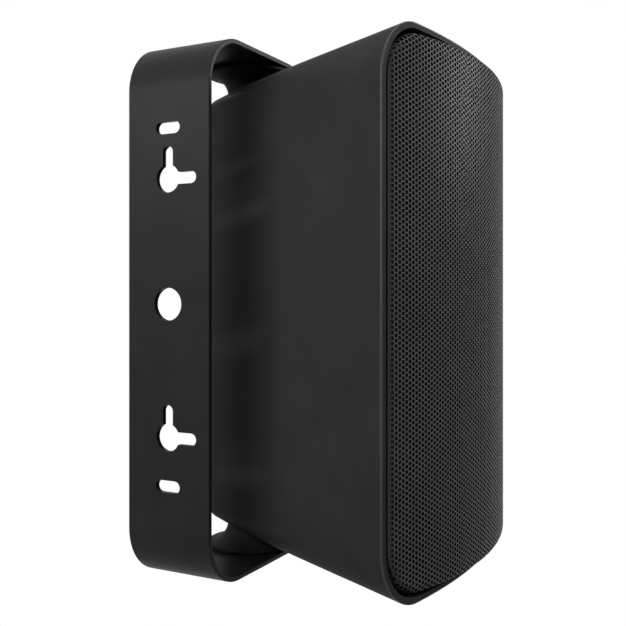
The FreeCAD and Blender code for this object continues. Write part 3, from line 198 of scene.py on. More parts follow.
class FinishSettings(PropertyGroup):
    """Colours of the finishes, and the painted shade on the walls of the sheet's holes."""
    bracket: colour("Bracket", "Powder coat on the bracket", (0.017, 0.017, 0.0173))
    cabinet: colour("Cabinet", "Moulded plastic of the cabinet", (0.0245, 0.0245, 0.0249))
    grille: colour("Grille", "Coat on the perforated sheet", (0.092, 0.092, 0.0928))
    edge_polish: ratio("Edge polish", "Shine of the rounded edge round the cabinet's front", 0.3)
    # Painted shade: the holes' walls share the grille's coat and are painted near black because they lie in shade.
    hole_wall: colour("Hole walls", "Walls of the sheet's holes, which catch next to no light",
                      (0.002, 0.002, 0.002))
    cloth: colour("Cloth", "Acoustic cloth behind the sheet", (0.002, 0.002, 0.002))


class StudioSettings(PropertyGroup):
    """Camera, lamps and background."""
    camera_place: point("Camera place", "Where the camera stands", (-0.2484, 0.3279, 0.0084))
    camera_aim: FloatVectorProperty(name="Camera aim", description="Direction in which the camera looks",
                                    default=(0.4654, -0.8851, 0.0), size=3, subtype="DIRECTION")
    camera_lens: FloatProperty(name="Lens", description="Focal length in millimetres", default=50.4,
                               unit="CAMERA")
    camera_sensor: FloatProperty(name="Sensor", description="Width of the sensor in millimetres",
                                 default=36.0, unit="CAMERA")
    camera_shift: FloatProperty(name="Shift", description="Shift of the image in heights", default=-0.0327)
    camera_near: length("Near limit", "Nearest distance that the camera sees", 0.01)
    floor_drop: length("Floor drop", "From the object's lowest point down to the floor", 0.9)
    floor_size: length("Floor size", "Side of the floor", 8.0)
    floor_colour: colour("Floor", "Colour of the floor where it throws light back", (0.8, 0.8, 0.8))
    floor_roughness: ratio("Floor roughness", "Roughness of the floor", 0.9)
    key_place: point("Key place", "Where the soft box above the plate stands", (0.104, 0.488, 0.231))
    key_size: extent("Key size", "Width and height of the soft box above the plate", (0.715, 0.065))
    key_power: power("Key power", "Power of the soft box above the plate", 4.1)
    nose_place: point("Nose place", "Where the soft box beside the nose stands", (1.0, -0.45, 0.65))
    nose_size: extent("Nose size", "Width and height of the soft box beside the nose", (0.3, 0.3))
    nose_power: power("Nose power", "Power of the soft box beside the nose", 1.5)
    front_place: point("Front place", "Where the soft box before the grille stands", (-0.75, -0.85, 0.45))
    front_size: extent("Front size", "Width and height of the soft box before the grille", (0.4, 0.5))
    front_power: power("Front power", "Power of the soft box before the grille", 9.0)
    rim_place: point("Rim place", "Where the soft box above the front stands", (-0.55, -0.03, 0.75))
    rim_size: extent("Rim size", "Width and height of the soft box above the front", (0.3, 0.3))
    rim_power: power("Rim power", "Power of the soft box above the front", 3.6)
    world_strength: ratio("Surroundings", "Strength of the even light from all round", 0.1)


# Meshes

def mesh_of(bm, name):
    """Makes a mesh of a bmesh, which is used up."""
    mesh = bpy.data.meshes.new(name)
    bm.to_mesh(mesh)
    bm.free()
    return mesh


def piece_of(mesh, name, body, replaced=()):
    """Makes an object of a mesh, rides it on a body and hides the solids that it stands for."""
    piece = bpy.data.objects.new(name, mesh)
    bpy.context.collection.objects.link(piece)
    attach(piece, body)
    if replaced:
        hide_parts(*replaced)
    return piece


def finish_mesh(bm, name, body, material, replaced=(), matrix=None):
    """Makes a piece of a bmesh with a finish, taken to its place in the part's frame by the matrix."""
    if matrix:
        bm.transform(matrix)
    mesh = mesh_of(bm, name)
    mesh.materials.append(material)
    return piece_of(mesh, name, body, replaced)


def merged_copy(node):
    """A copy of a solid's mesh with its seams closed, which keeps the solid's finish and shading."""
    mesh = NODES[node].data.copy()
    normals = [corner.vector.copy() for corner in mesh.corner_normals]
    bm = bmesh.new()
    bm.from_mesh(mesh)
    bmesh.ops.remove_doubles(bm, verts=bm.verts, dist=SAME_POINT)
    bm.to_mesh(mesh)
    bm.free()
    mesh.normals_split_custom_set(normals)
    return mesh


def everything(bm):
    return bm.verts[:] + bm.edges[:] + bm.faces[:]


def of_kind(items, kind):
    """Those of an operator's results that are of one kind, such as its vertices."""
    return [item for item in items if isinstance(item, kind)]


def on_level(up):
    """Takes a piece drawn as if above the cabinet to the upper or the lower pivot."""
    return Matrix.Translation(SWIVEL) @ Matrix.Rotation(0 if up > 0 else math.pi, 4, "X")


def away_from_middle(low, high, up):
    """The inner and outer heights of a box, counted from the cabinet's middle on either level."""
    return (low.z, high.z) if up > 0 else (-high.z, -low.z)


def turned(bm, profile, segments):
    """A profile of (radius, height) points spun about Z to a closed solid."""
    verts = [bm.verts.new((radius, 0, height)) for radius, height in profile]
    edges = [bm.edges.new(pair) for pair in zip(verts, verts[1:])]
    bmesh.ops.spin(bm, geom=verts + edges, cent=(0, 0, 0), axis=(0, 0, 1), angle=math.tau, steps=segments,
                   use_merge=True)


def tidy_normals(bm):
    bmesh.ops.remove_doubles(bm, verts=bm.verts, dist=SAME_POINT)
    bmesh.ops.recalc_face_normals(bm, faces=bm.faces)


def socket_bolt(bm, head_radius, head_height, reach, size):
    """A button-head bolt with a six-sided socket: bearing face at 0, head towards +Z, shank towards -Z."""
    shank = size.bolt_radius
    chamfer = size.bolt_chamfer
    crown = head_radius * HEAD_CROWN
    profile = [(0, -reach), (shank - chamfer, -reach), (shank, chamfer - reach), (shank, 0),
               (head_radius * HEAD_BEARING, 0), (head_radius, head_height * HEAD_EDGE)]
    for step in range(1, HEAD_STEPS + 1):
        angle = step / HEAD_STEPS * math.pi / 2
        profile.append((crown + (head_radius - crown) * math.cos(angle),
                        head_height * (HEAD_EDGE + (1 - HEAD_EDGE) * math.sin(angle))))
    socket_radius = size.bolt_socket / math.sqrt(3)
    profile.append((socket_radius * SOCKET_MOUTH, head_height))
    turned(bm, profile, size.segments)
    bmesh.ops.remove_doubles(bm, verts=bm.verts, dist=SAME_POINT)
    mouth = [edge for edge in bm.edges if edge.is_boundary and edge.verts[0].co.z > 0]
    corners = bmesh.ops.create_circle(bm, segments=HEXAGON, radius=socket_radius,
                                      matrix=Matrix.Translation((0, 0, head_height * SOCKET_EDGE)))["verts"]
    sides = list({edge for vert in corners for edge in vert.link_edges})
    cuts = size.segments // HEXAGON - 1
    sides = of_kind(bmesh.ops.subdivide_edges(bm, edges=sides, cuts=cuts)["geom"], bmesh.types.BMEdge)
    bmesh.ops.bridge_loops(bm, edges=mouth + sides)
    deep = bmesh.ops.extrude_edge_only(bm, edges=sides)["geom"]
    bmesh.ops.translate(bm, verts=of_kind(deep, bmesh.types.BMVert), vec=(0, 0, -head_height * SOCKET_DEPTH))
    bmesh.ops.contextual_create(bm, geom=of_kind(deep, bmesh.types.BMEdge))
    tidy_normals(bm)


# Materials

def shader_tree(name):
    """A new material with its principled shader and its Object coordinates."""
    material = bpy.data.materials.new(name)
    material.use_nodes = True
    nodes = material.node_tree.nodes
    shader = nodes["Principled BSDF"]
    place = nodes.new("ShaderNodeTexCoord")
    return material, nodes, material.node_tree.links, shader, place.outputs["Object"]


def noise_at(nodes, links, coordinates, scale, detail=2.0, roughness=0.5):
    noise = nodes.new("ShaderNodeTexNoise")
    noise.inputs["Scale"].default_value = scale
    noise.inputs["Detail"].default_value = detail
    noise.inputs["Roughness"].default_value = roughness
    links.new(coordinates, noise.inputs["Vector"])
    return noise.outputs["Fac"]


def spread(nodes, links, factor, low, high):
    """Takes a noise factor to a range of values."""
    scale = nodes.new("ShaderNodeMapRange")
    scale.inputs["From Min"].default_value = NOISE_LOW
    scale.inputs["From Max"].default_value = NOISE_HIGH
    scale.inputs["To Min"].default_value = low
    scale.inputs["To Max"].default_value = high
    links.new(factor, scale.inputs["Value"])
    return scale.outputs["Result"]


def tint(nodes, links, factor, dark, light):
    """Takes a noise factor to colours between dark and light."""
    ramp = nodes.new("ShaderNodeValToRGB")
    ramp.color_ramp.elements[0].position = NOISE_LOW
    ramp.color_ramp.elements[1].position = NOISE_HIGH
    ramp.color_ramp.elements[0].color = (*dark, 1)
    ramp.color_ramp.elements[1].color = (*light, 1)
    links.new(factor, ramp.inputs["Fac"])
    return ramp.outputs["Color"]


def bumped(nodes, links, shader, height, distance, strength):
    bump = nodes.new("ShaderNodeBump")
    bump.inputs["Strength"].default_value = strength
    bump.inputs["Distance"].default_value = distance
    links.new(height, bump.inputs["Height"])
    links.new(bump.outputs["Normal"], shader.inputs["Normal"])


def grained(name, base, shade=0.18, grain=900.0, depth=0.00006, rough=(0.42, 0.58), metallic=0.0,
            specular=0.5, strength=0.6):
    """A coat or moulded surface: fine grain in its relief and gloss, and slow drifts in its colour."""
    material, nodes, links, shader, place = shader_tree(name)
    drift = noise_at(nodes, links, place, scale=45.0, detail=3.0)
    fine = noise_at(nodes, links, place, scale=grain, roughness=0.6)
    dark = [channel * (1 - shade) for channel in base]
    light = [min(channel * (1 + shade), 1) for channel in base]
    links.new(tint(nodes, links, drift, dark, light), shader.inputs["Base Color"])
    links.new(spread(nodes, links, fine, *rough), shader.inputs["Roughness"])
    shader.inputs["Metallic"].default_value = metallic
    shader.inputs["Specular IOR Level"].default_value = specular
    bumped(nodes, links, shader, fine, depth, strength)
    return material


def marked(material, name):
    """The nodes and links of a material, and the value of a mark on the faces it is on."""
    nodes = material.node_tree.nodes
    mark = nodes.new("ShaderNodeAttribute")
    mark.attribute_name = name
    return nodes, material.node_tree.links, mark.outputs["Fac"]


def perforated(name, base, wall, **coat):
    """A coat with painted shade: darker where the mesh marks the walls of its holes."""
    material = grained(name, base, **coat)
    nodes, links, mark = marked(material, PAINTED_HOLE_SHADE)
    tone = nodes["Principled BSDF"].inputs["Base Color"]
    # The mark mixes the painted shade colour over the coat on the hole walls.
    mix = nodes.new("ShaderNodeMix")
    mix.data_type = "RGBA"
    sockets = {socket.identifier: socket for socket in [*mix.inputs, *mix.outputs]}
    links.new(mark, sockets["Factor_Float"])
    links.new(tone.links[0].from_socket, sockets["A_Color"])
    sockets["B_Color"].default_value = (*wall, 1)
    links.new(sockets["Result_Color"], tone)
    return material


def polished(name, base, specular, polish, **coat):
    """A coat that shines more where the mesh marks its rounded edge."""
    material = grained(name, base, specular=specular, **coat)
    nodes, links, mark = marked(material, RIM_EDGE)
    shine = nodes.new("ShaderNodeMapRange")
    shine.inputs["To Min"].default_value = specular
    shine.inputs["To Max"].default_value = polish
    links.new(mark, shine.inputs["Value"])
    links.new(shine.outputs["Result"], nodes["Principled BSDF"].inputs["Specular IOR Level"])
    return material


def woven(name, base, threads, sheen, shadow=0.6):
    """Cloth of crossed threads, which keep a share of their colour where they lie in shadow."""
    material, nodes, links, shader, place = shader_tree(name)
    heights = []
    for axis in ("Y", "Z"):
        wave = nodes.new("ShaderNodeTexWave")
        wave.bands_direction = axis
        wave.inputs["Scale"].default_value = threads
        wave.inputs["Distortion"].default_value = 0.4
        links.new(place, wave.inputs["Vector"])
        heights.append(wave.outputs["Fac"])
    cross = nodes.new("ShaderNodeMath")
    cross.operation = "MULTIPLY"
    links.new(heights[0], cross.inputs[0])
    links.new(heights[1], cross.inputs[1])
    dark = [channel * shadow for channel in base]
    links.new(tint(nodes, links, cross.outputs["Value"], dark, base), shader.inputs["Base Color"])
    shader.inputs["Roughness"].default_value = 0.9
    shader.inputs["Sheen Weight"].default_value = sheen
    bumped(nodes, links, shader, cross.outputs["Value"], distance=0.0001, strength=0.5)
    return material


def wound(name, base, turns=420.0, shadow=0.5):
    """Turns of enamelled wire side by side along the cabinet's depth."""
    material, nodes, links, shader, place = shader_tree(name)
    wave = nodes.new("ShaderNodeTexWave")
    wave.bands_direction = "X"
    wave.inputs["Scale"].default_value = turns
    links.new(place, wave.inputs["Vector"])
    dark = [channel * shadow for channel in base]
    links.new(tint(nodes, links, wave.outputs["Fac"], dark, base), shader.inputs["Base Color"])
    shader.inputs["Metallic"].default_value = 0.85
    shader.inputs["Roughness"].default_value = 0.3
    bumped(nodes, links, shader, wave.outputs["Fac"], distance=0.0002, strength=0.6)
    return material


def finishes():
    """Every finish of the record's material slots, made once."""
    if "polyester wadding" in bpy.data.materials:
        return bpy.data.materials
    look = bpy.context.scene.speaker_finish
    grained("bracket coat", look.bracket, shade=0.12, grain=1500, depth=0.00004, rough=(0.36, 0.5),
            specular=0.05)
    polished("cabinet plastic", look.cabinet, specular=0.012, polish=look.edge_polish, shade=0.1, grain=1100,
             depth=0.00008, rough=(0.46, 0.62))
    # The grille coat, with painted shade on the walls of its holes.
    perforated("grille coat", look.grille, look.hole_wall, shade=0.1, grain=1800, depth=0.00002,
               rough=(0.3, 0.4), specular=0.03)
    grained("baffle plastic", (0.016, 0.016, 0.017), grain=1200, rough=(0.5, 0.65))
    woven("acoustic cloth", look.cloth, threads=900.0, sheen=0.1)
    grained("rubber", (0.015, 0.015, 0.015), grain=700, rough=(0.6, 0.8), specular=0.35)
    grained("foam rubber", (0.035, 0.035, 0.036), grain=500, depth=0.0003, rough=(0.8, 0.95), specular=0.2)
    grained("black steel", (0.02, 0.02, 0.021), grain=1400, depth=0.00002, rough=(0.25, 0.4), metallic=0.6)
    grained("zinc steel", (0.5, 0.51, 0.53), grain=600, depth=0.00003, rough=(0.25, 0.42), metallic=1.0)
    grained("brass", (0.68, 0.48, 0.2), grain=600, depth=0.00003, rough=(0.22, 0.36), metallic=1.0)
    grained("frame coat", (0.022, 0.022, 0.023), grain=1200, rough=(0.35, 0.5))
    grained("ferrite", (0.06, 0.06, 0.063), grain=500, depth=0.0001, rough=(0.55, 0.75))
    woven("spider cloth", (0.5, 0.34, 0.13), threads=500.0, sheen=0.3)
    grained("cone plastic", (0.03, 0.03, 0.032), grain=420, depth=0.0001, rough=(0.45, 0.6))
    wound("copper wire", (0.72, 0.33, 0.14))
    grained("dome silk", (0.02, 0.02, 0.022), grain=1600, rough=(0.5, 0.7))
    grained("circuit board", (0.02, 0.13, 0.05), shade=0.25, grain=260, rough=(0.3, 0.45))
    grained("film wrap", (0.45, 0.3, 0.06), grain=200, rough=(0.18, 0.3))
    grained("red insulation", (0.3, 0.02, 0.02), grain=300, depth=0.00002, rough=(0.3, 0.42))
    grained("white ceramic", (0.7, 0.68, 0.62), grain=900, rough=(0.6, 0.8))
    grained("polyester wadding", (0.7, 0.7, 0.69), shade=0.25, grain=160, depth=0.002, rough=(0.9, 1.0),
            specular=0.1, strength=1.0)
    return bpy.data.materials


# The finish of each of the record's material slots.
FINISH_OF_SLOT = {
    "bracket_coat": "bracket coat",
    "cabinet_plastic": "cabinet plastic",
    "baffle_plastic": "baffle plastic",
    "grille_coat": "grille coat",
    "cloth": "acoustic cloth",
    "rubber": "rubber",
    "foam_rubber": "foam rubber",
    "black_steel": "black steel",
    "zinc_steel": "zinc steel",
    "brass": "brass",
    "frame_coat": "frame coat",
    "ferrite": "ferrite",
    "spider_cloth": "spider cloth",
    "cone_plastic": "cone plastic",
    "copper": "copper wire",
    "dome_silk": "dome silk",
    "board": "circuit board",
    "capacitor_film": "film wrap",
    "resistor_ceramic": "white ceramic",
    "wadding": "polyester wadding",
    "wire_insulation": "red insulation",
}


class SPEAKER_OT_finishes(Operator):
    """Make the finishes and put them on the solids"""
    bl_idname = "speaker.finishes"
    bl_label = "Finishes"

    def execute(self, context):
        materials = finishes()
        for part in frame["record"]["subparts"]:
            solid = NODES[part["node"]].data
            solid.materials.clear()
            solid.materials.append(materials[FINISH_OF_SLOT[part["material_slot"]]])
        return {"FINISHED"}


class SPEAKER_OT_cabinet(Operator):
    """Build the cabinet with a slimmer lip round the grille than the solids' wall"""
    bl_idname = "speaker.cabinet"
    bl_label = "Cabinet"

    def execute(self, context):
        size = context.scene.speaker_front
        to_cabinet = CABINET.inverted()
        shell = merged_copy("cabinet")
        for vertex in shell.vertices:
            place = to_cabinet @ vertex.co
            depth = place.y + size.front_reach
            if depth < size.lip_depth:
                vertex.co = CABINET @ self.slimmed(place, depth, size)
        self.mark_edge(shell, to_cabinet, size)
        piece_of(shell, "cabinet_shell", "speaker", ("cabinet",))
        return {"FINISHED"}

    def rim_radius(self, size):
        """The radius of the arc in which the rim bows."""
        return ((size.front_width / 2) ** 2 + size.rim_bow ** 2) / (2 * size.rim_bow)

    def within(self, place, depth, size):
        """How far a point lies inside the cabinet's outline, and its way out of the straight middle."""
        wide = size.front_width / 2 - math.tan(size.side_draft) * depth - size.corner_radius
        tall = size.cabinet_height / 2 - math.tan(size.top_draft) * depth - size.corner_radius
        across = Vector((abs(place.x) - wide, abs(place.z) - tall))
        beyond = Vector((max(across.x, 0), max(across.y, 0)))
        return size.corner_radius - beyond.length - min(max(across), 0), beyond

    def mark_edge(self, shell, to_cabinet, size):
        """Marks the faces of the rounded edge between the cabinet's outside and its bowed rim."""
        mark = shell.attributes.new(RIM_EDGE, "FLOAT", "FACE")
        radius = self.rim_radius(size)
        axis = radius - size.rim_bow - size.front_reach
        for face in shell.polygons:
            place = to_cabinet @ face.center
            behind_front = radius - math.hypot(place.x, place.y - axis)
            inside = self.within(place, place.y + size.front_reach, size)[0]
            mark.data[face.index].value = float(max(behind_front, inside) < size.rim_edge)

    def slimmed(self, place, depth, size):
        """A point of the wall's inside moved outward along the bowed front of the rim; others stay."""
        inside, beyond = self.within(place, depth, size)
        if beyond.length == 0 or not size.lip_least < inside < size.lip_most:
            return place
        outward = beyond.normalized() * size.lip_slim
        fall = abs(place.x) / math.sqrt(self.rim_radius(size) ** 2 - place.x ** 2)
        return place + Vector((math.copysign(outward.x, place.x), outward.x * fall,
                               math.copysign(outward.y, place.z)))


class SPEAKER_OT_grille(Operator):
    """Build the bowed perforated sheet with its folded edge, in two halves"""
    bl_idname = "speaker.grille"
    bl_label = "Perforated grille"

    def execute(self, context):
        size = context.scene.speaker_front
        half_width = size.front_width / 2 - size.inset / math.cos(size.side_draft)
        half_height = size.cabinet_height / 2 - size.top_inset
        bow_radius = (half_width ** 2 + size.bow ** 2) / (2 * size.bow)
        half_arc = bow_radius * math.asin(half_width / bow_radius)
        corner = size.corner_radius - size.inset
        flat = (half_arc - corner, half_height - corner)
        round_off = corner - size.fold
        reach = round_off + size.fold * math.pi / 2 + size.seat
        for side, name in ((-1, "grille_near"), (1, "grille_far")):
            bm = bmesh.new()
            self.lattice(bm, size, half_arc + size.seat, half_height + size.seat, side)
            self.trim(bm, flat, reach)
            self.perforate(bm, size, flat, round_off + size.border)
            for vert in bm.verts:
                vert.co = self.folded(vert.co, size, flat, round_off, bow_radius)
            bmesh.ops.recalc_face_normals(bm, faces=bm.faces)
            if sum(face.normal.y for face in bm.faces) > 0:
                bmesh.ops.reverse_faces(bm, faces=bm.faces)
            self.thicken(bm, size.sheet)
            finish_mesh(bm, name, "speaker", finishes()["grille coat"],
                        ("grille",) if side < 0 else (), CABINET)
        return {"FINISHED"}

    def lattice(self, bm, size, half_wide, half_tall, side):
        """Six-sided cells edge to edge over half the sheet, in columns a step apart.

        The near half has the middle column and those on its own side, so that the two halves mesh.
        """
        pitch = size.pitch
        step = size.step
        columns = int(half_wide / step) + SPARE_CELLS
        rows = int(half_tall / pitch) + SPARE_CELLS
        turn = Matrix.Rotation(math.pi / 2, 4, "X") @ Matrix.Rotation(math.pi / HEXAGON, 4, "Z")
        bmesh.ops.create_circle(bm, cap_ends=True, segments=HEXAGON, radius=pitch / math.sqrt(3), matrix=turn)
        bmesh.ops.scale(bm, verts=bm.verts, vec=(step / (pitch * math.sqrt(3) / 2), 1, 1))
        self.repeat(bm, Vector((0, 0, pitch)), 2 * rows)
        bmesh.ops.translate(bm, verts=bm.verts, vec=(0, 0, -rows * pitch))
        self.repeat(bm, Vector((side * step, 0, pitch / 2)), 2)
        self.repeat(bm, Vector((side * 2 * step, 0, 0)), columns // 2 + 1)
        if side > 0:
            bmesh.ops.translate(bm, verts=bm.verts, vec=(step, 0, pitch / 2))
        bmesh.ops.remove_doubles(bm, verts=bm.verts, dist=pitch * SAME_CORNER)

    def repeat(self, bm, step, count):
        """Copies what there is so far along a step until there are at least count of it."""
        made = 1
        while made < count:
            copy = bmesh.ops.duplicate(bm, geom=everything(bm))["geom"]
            bmesh.ops.translate(bm, verts=of_kind(copy, bmesh.types.BMVert), vec=step * made)
            made *= 2

    def trim(self, bm, flat, reach):
        """Cuts the flat sheet to its round-cornered outline, from corner to corner."""
        corner_cuts = 10
        for corner, (right, top) in enumerate(((1, 1), (-1, 1), (-1, -1), (1, -1))):
            for cut in range(corner_cuts):
                angle = (corner + cut / corner_cuts) * math.pi / 2
                normal = Vector((math.cos(angle), 0, math.sin(angle)))
                place = Vector((right * flat[0], 0, top * flat[1])) + normal * reach
                bmesh.ops.bisect_plane(bm, geom=everything(bm), dist=SAME_POINT, plane_co=place,
                                       plane_no=normal, clear_outer=True)

    def perforate(self, bm, size, flat, limit):
        """Opens a hole in each whole cell inside the limit."""
        whole = []
        for face in bm.faces:
            far = max(self.outside(vert.co, flat)[1] for vert in face.verts)
            if len(face.verts) == HEXAGON and far < limit:
                whole.append(face)
        bmesh.ops.inset_individual(bm, faces=whole, thickness=size.web / 2, use_even_offset=True)
        bmesh.ops.delete(bm, geom=whole, context="FACES")

    def thicken(self, bm, sheet):
        """Gives the sheet its thickness and marks the faces across it, walls of holes and the cut edge, for
        painted shade.
        """
        wall = bm.faces.layers.float.new(PAINTED_HOLE_SHADE)
        outward = bm.verts.layers.float_vector.new("outward")
        for vert in bm.verts:
            vert[outward] = vert.normal
        bmesh.ops.solidify(bm, geom=bm.faces, thickness=sheet)
        bm.normal_update()
        for face in bm.faces:
            sheet_normal = sum((vert[outward] for vert in face.verts), Vector()).normalized()
            face[wall] = float(abs(face.normal.dot(sheet_normal)) < WALL_FACING)
        bm.verts.layers.float_vector.remove(outward)

    def outside(self, place, flat):
        """The nearest point of the flat middle, the distance from it and the direction away from it."""
        core = Vector((max(-flat[0], min(flat[0], place.x)), 0, max(-flat[1], min(flat[1], place.z))))
        away = Vector((place.x, 0, place.z)) - core
        return core, away.length, away.normalized()

    def folded(self, place, size, flat, round_off, bow_radius):
        """Takes a point of the flat sheet to the bowed sheet, round the fold or down the folded edge."""
        core, distance, away = self.outside(place, flat)
        on_face = core + away * min(distance, round_off)
        angle = on_face.x / bow_radius
        axis = bow_radius - size.bow - size.front_reach
        spot = Vector((bow_radius * math.sin(angle), axis - bow_radius * math.cos(angle), on_face.z))
        normal = Vector((math.sin(angle), -math.cos(angle), 0))
        along = Vector((math.cos(angle), math.sin(angle), 0)) * away.x + Vector((0, 0, away.z))
        beyond = max(distance - round_off, 0)
        bend = min(beyond / size.fold, math.pi / 2)
        spot += size.fold * (along * math.sin(bend) - normal * (1 - math.cos(bend)))
        straight = max(beyond - size.fold * math.pi / 2, 0)
        if straight > 0:
            seat = size.seat - size.front_reach
            inward = -math.copysign(math.sin(size.side_draft), on_face.x) * abs(away.x)
            down = Vector((inward, math.cos(size.side_draft * abs(away.x)), 0))
            spot += down * ((seat - spot.y) / down.y) * min(straight / size.seat, 1)
        spot.z *= 1 - math.tan(size.top_draft) * (spot.y + size.front_reach) / (size.cabinet_height / 2)
        return spot


class SPEAKER_OT_pivot_bolts(Operator):
    """Build the socket bolts and washers on the bracket's arms"""
    bl_idname = "speaker.pivot_bolts"
    bl_label = "Pivot bolts"

    def execute(self, context):
        size = context.scene.speaker_fastener
        steel = finishes()["black steel"]
        for level, up in LEVELS:
            low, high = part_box(f"pivot_washer_{level}")
            bolt_low, bolt_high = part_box(f"pivot_bolt_{level}")
            inner, outer = away_from_middle(low, high, up)
            tip, top = away_from_middle(bolt_low, bolt_high, up)
            bolt = bmesh.new()
            socket_bolt(bolt, (bolt_high.x - bolt_low.x) / 2, top - outer, outer - tip, size)
            finish_mesh(bolt, f"socket_bolt_{level}", "speaker", steel,
                        (f"pivot_bolt_{level}",), on_level(up) @ Matrix.Translation((0, 0, outer)))
            ring = bmesh.new()
            bore = size.washer_bore
            radius = (high.x - low.x) / 2
            edge = size.washer_round
            turned(ring, [(bore, inner), (bore, outer), (radius - edge, outer), (radius, outer - edge),
                          (radius, inner), (bore, inner)], size.segments)
            tidy_normals(ring)
            finish_mesh(ring, f"flat_washer_{level}", "speaker", steel,
                        (f"pivot_washer_{level}",), on_level(up))
        return {"FINISHED"}


class SPEAKER_OT_spider(Operator):
    """Build the woofer's spider from a copy of the solid's mesh with its seams closed"""
    bl_idname = "speaker.spider"
    bl_label = "Spider"

    def execute(self, context):
        ring = merged_copy("woofer_spider")
        piece = piece_of(ring, "spider_ring", "speaker", ("woofer_spider",))
        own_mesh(piece)
        return {"FINISHED"}


class SPEAKER_OT_boss_flares(Operator):
    """Build the trumpet-shaped flares that carry the pivot bosses' flanges"""
    bl_idname = "speaker.boss_flares"
    bl_label = "Boss flares"

    def execute(self, context):
        size = context.scene.speaker_boss
        radius = size.rim_radius - size.neck_radius
        for level, up in LEVELS:
            low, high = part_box(f"friction_pad_{level}")
            top = away_from_middle(low, high, up)[0] - size.flange
            profile = [(size.neck_radius, top)]
            for step in range(size.arc_points + 1):
                angle = step / size.arc_points * math.pi / 2
                profile.append((size.rim_radius - radius * math.cos(angle),
                                top - radius + radius * math.sin(angle)))
            profile.append(profile[0])
            bm = bmesh.new()
            turned(bm, profile, size.segments)
            tidy_normals(bm)
            for face in bm.faces:
                face.smooth = True
            finish_mesh(bm, f"boss_flare_{level}", "speaker",
                        finishes()["cabinet plastic"], matrix=on_level(up))
        return {"FINISHED"}


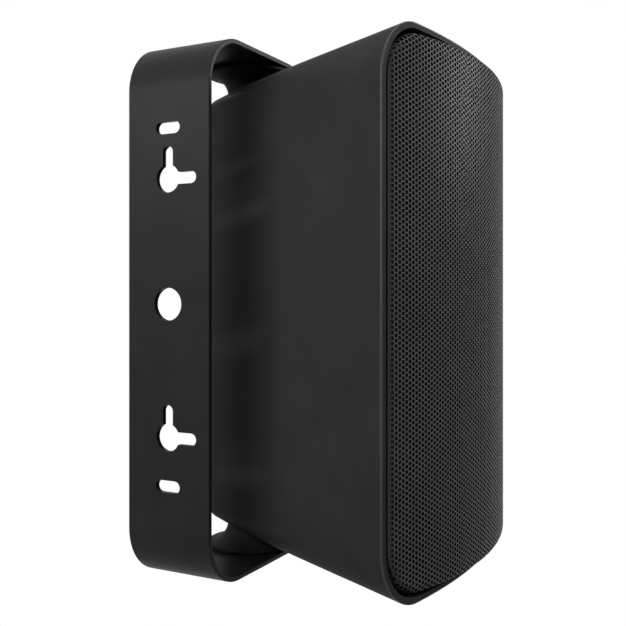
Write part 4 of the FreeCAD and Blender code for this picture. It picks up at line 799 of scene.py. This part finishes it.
class SPEAKER_OT_studio(Operator):
    """Set the floor, the lamps, the surroundings and the camera"""
    bl_idname = "speaker.studio"
    bl_label = "Studio"

    def execute(self, context):
        scene = context.scene
        size = scene.speaker_studio
        scene.view_settings.view_transform = "Standard"
        self.floor(size)
        self.surroundings(scene, size)
        for name in ("key", "nose", "front", "rim"):
            self.lamp(name, *(getattr(size, f"{name}_{value}") for value in ("place", "size", "power")))
        camera = bpy.data.objects.new("camera", bpy.data.cameras.new("camera"))
        camera.data.lens = size.camera_lens
        camera.data.sensor_width = size.camera_sensor
        camera.data.shift_y = size.camera_shift
        camera.data.clip_start = size.camera_near
        camera.location = size.camera_place
        camera.rotation_euler = Vector(size.camera_aim).to_track_quat("-Z", "Y").to_euler()
        scene.collection.objects.link(camera)
        scene.camera = camera
        return {"FINISHED"}

    def floor(self, size):
        bm = bmesh.new()
        bmesh.ops.create_grid(bm, x_segments=1, y_segments=1, size=size.floor_size / 2,
                              matrix=Matrix.Translation((0, 0, CAD_BOX[0].z - size.floor_drop)))
        mesh = mesh_of(bm, "floor")
        material = bpy.data.materials.new("floor paper")
        material.use_nodes = True
        tree = material.node_tree
        shader = tree.nodes["Principled BSDF"]
        shader.inputs["Base Color"].default_value = (*size.floor_colour, 1)
        shader.inputs["Roughness"].default_value = size.floor_roughness
        white = tree.nodes.new("ShaderNodeEmission")
        self.split_by_ray(tree, shader.outputs["BSDF"], white.outputs["Emission"], "Material Output")
        mesh.materials.append(material)
        floor = bpy.data.objects.new("floor", mesh)
        bpy.context.scene.collection.objects.link(floor)

    def split_by_ray(self, tree, unseen, seen, output):
        """Shows one shader to camera, mirror and clear rays, which see a background, and one to the rest."""
        path = tree.nodes.new("ShaderNodeLightPath")
        sees = path.outputs["Is Camera Ray"]
        for kind in ("Is Glossy Ray", "Is Transmission Ray"):
            most = tree.nodes.new("ShaderNodeMath")
            most.operation = "MAXIMUM"
            tree.links.new(sees, most.inputs[0])
            tree.links.new(path.outputs[kind], most.inputs[1])
            sees = most.outputs["Value"]
        mix = tree.nodes.new("ShaderNodeMixShader")
        tree.links.new(sees, mix.inputs["Fac"])
        tree.links.new(unseen, mix.inputs[1])
        tree.links.new(seen, mix.inputs[2])
        tree.links.new(mix.outputs["Shader"], tree.nodes[output].inputs["Surface"])

    def surroundings(self, scene, size):
        """An even dim light from all round, in front of a white background."""
        world = bpy.data.worlds.new("studio")
        scene.world = world
        world.use_nodes = True
        tree = world.node_tree
        even = tree.nodes["Background"]
        even.inputs["Color"].default_value = WHITE
        even.inputs["Strength"].default_value = size.world_strength
        white = tree.nodes.new("ShaderNodeBackground")
        white.inputs["Color"].default_value = WHITE
        self.split_by_ray(tree, even.outputs["Background"], white.outputs["Background"], "World Output")

    def lamp(self, name, place, box, energy):
        """A soft box that shines from a place on the object's middle."""
        data = bpy.data.lights.new(name, "AREA")
        data.shape = "RECTANGLE"
        data.size, data.size_y = box
        data.energy = energy
        lamp = bpy.data.objects.new(name, data)
        lamp.location = place
        middle = (CAD_BOX[0] + CAD_BOX[1]) / 2
        lamp.rotation_euler = (lamp.location - middle).to_track_quat("Z", "Y").to_euler()
        bpy.context.scene.collection.objects.link(lamp)


class SPEAKER_PT_dressing(Panel):
    """Settings and builders of the speaker's dressing"""
    bl_label = "Wall speaker"
    bl_idname = "SPEAKER_PT_dressing"
    bl_space_type = "VIEW_3D"
    bl_region_type = "UI"
    bl_category = "Speaker"

    def draw(self, context):
        for operator in OPERATORS:
            self.layout.operator(operator.bl_idname)
        for name in SETTINGS:
            group = getattr(context.scene, name)
            box = self.layout.box()
            for key in group.bl_rna.properties.keys():
                if key not in {"rna_type", "name"}:
                    box.prop(group, key)


SETTINGS = {
    "speaker_front": FrontSettings,
    "speaker_fastener": FastenerSettings,
    "speaker_boss": BossSettings,
    "speaker_spider": SpiderSettings,
    "speaker_finish": FinishSettings,
    "speaker_studio": StudioSettings,
}
OPERATORS = (
    SPEAKER_OT_finishes,
    SPEAKER_OT_cabinet,
    SPEAKER_OT_grille,
    SPEAKER_OT_pivot_bolts,
    SPEAKER_OT_boss_flares,
    SPEAKER_OT_spider,
    SPEAKER_OT_studio,
)


def register():
    for group in SETTINGS.values():
        bpy.utils.register_class(group)
    for name, group in SETTINGS.items():
        setattr(bpy.types.Scene, name, PointerProperty(type=group))
    for operator in OPERATORS:
        bpy.utils.register_class(operator)
    bpy.utils.register_class(SPEAKER_PT_dressing)


def unregister():
    bpy.utils.unregister_class(SPEAKER_PT_dressing)
    for operator in reversed(OPERATORS):
        bpy.utils.unregister_class(operator)
    for name in SETTINGS:
        delattr(bpy.types.Scene, name)
    for group in reversed(list(SETTINGS.values())):
        bpy.utils.unregister_class(group)


def main():
    register()
    bpy.ops.speaker.finishes()
    bpy.ops.speaker.cabinet()
    bpy.ops.speaker.grille()
    bpy.ops.speaker.pivot_bolts()
    bpy.ops.speaker.boss_flares()
    bpy.ops.speaker.spider()
    bpy.ops.speaker.studio()


if __name__ == "__main__":
    main()
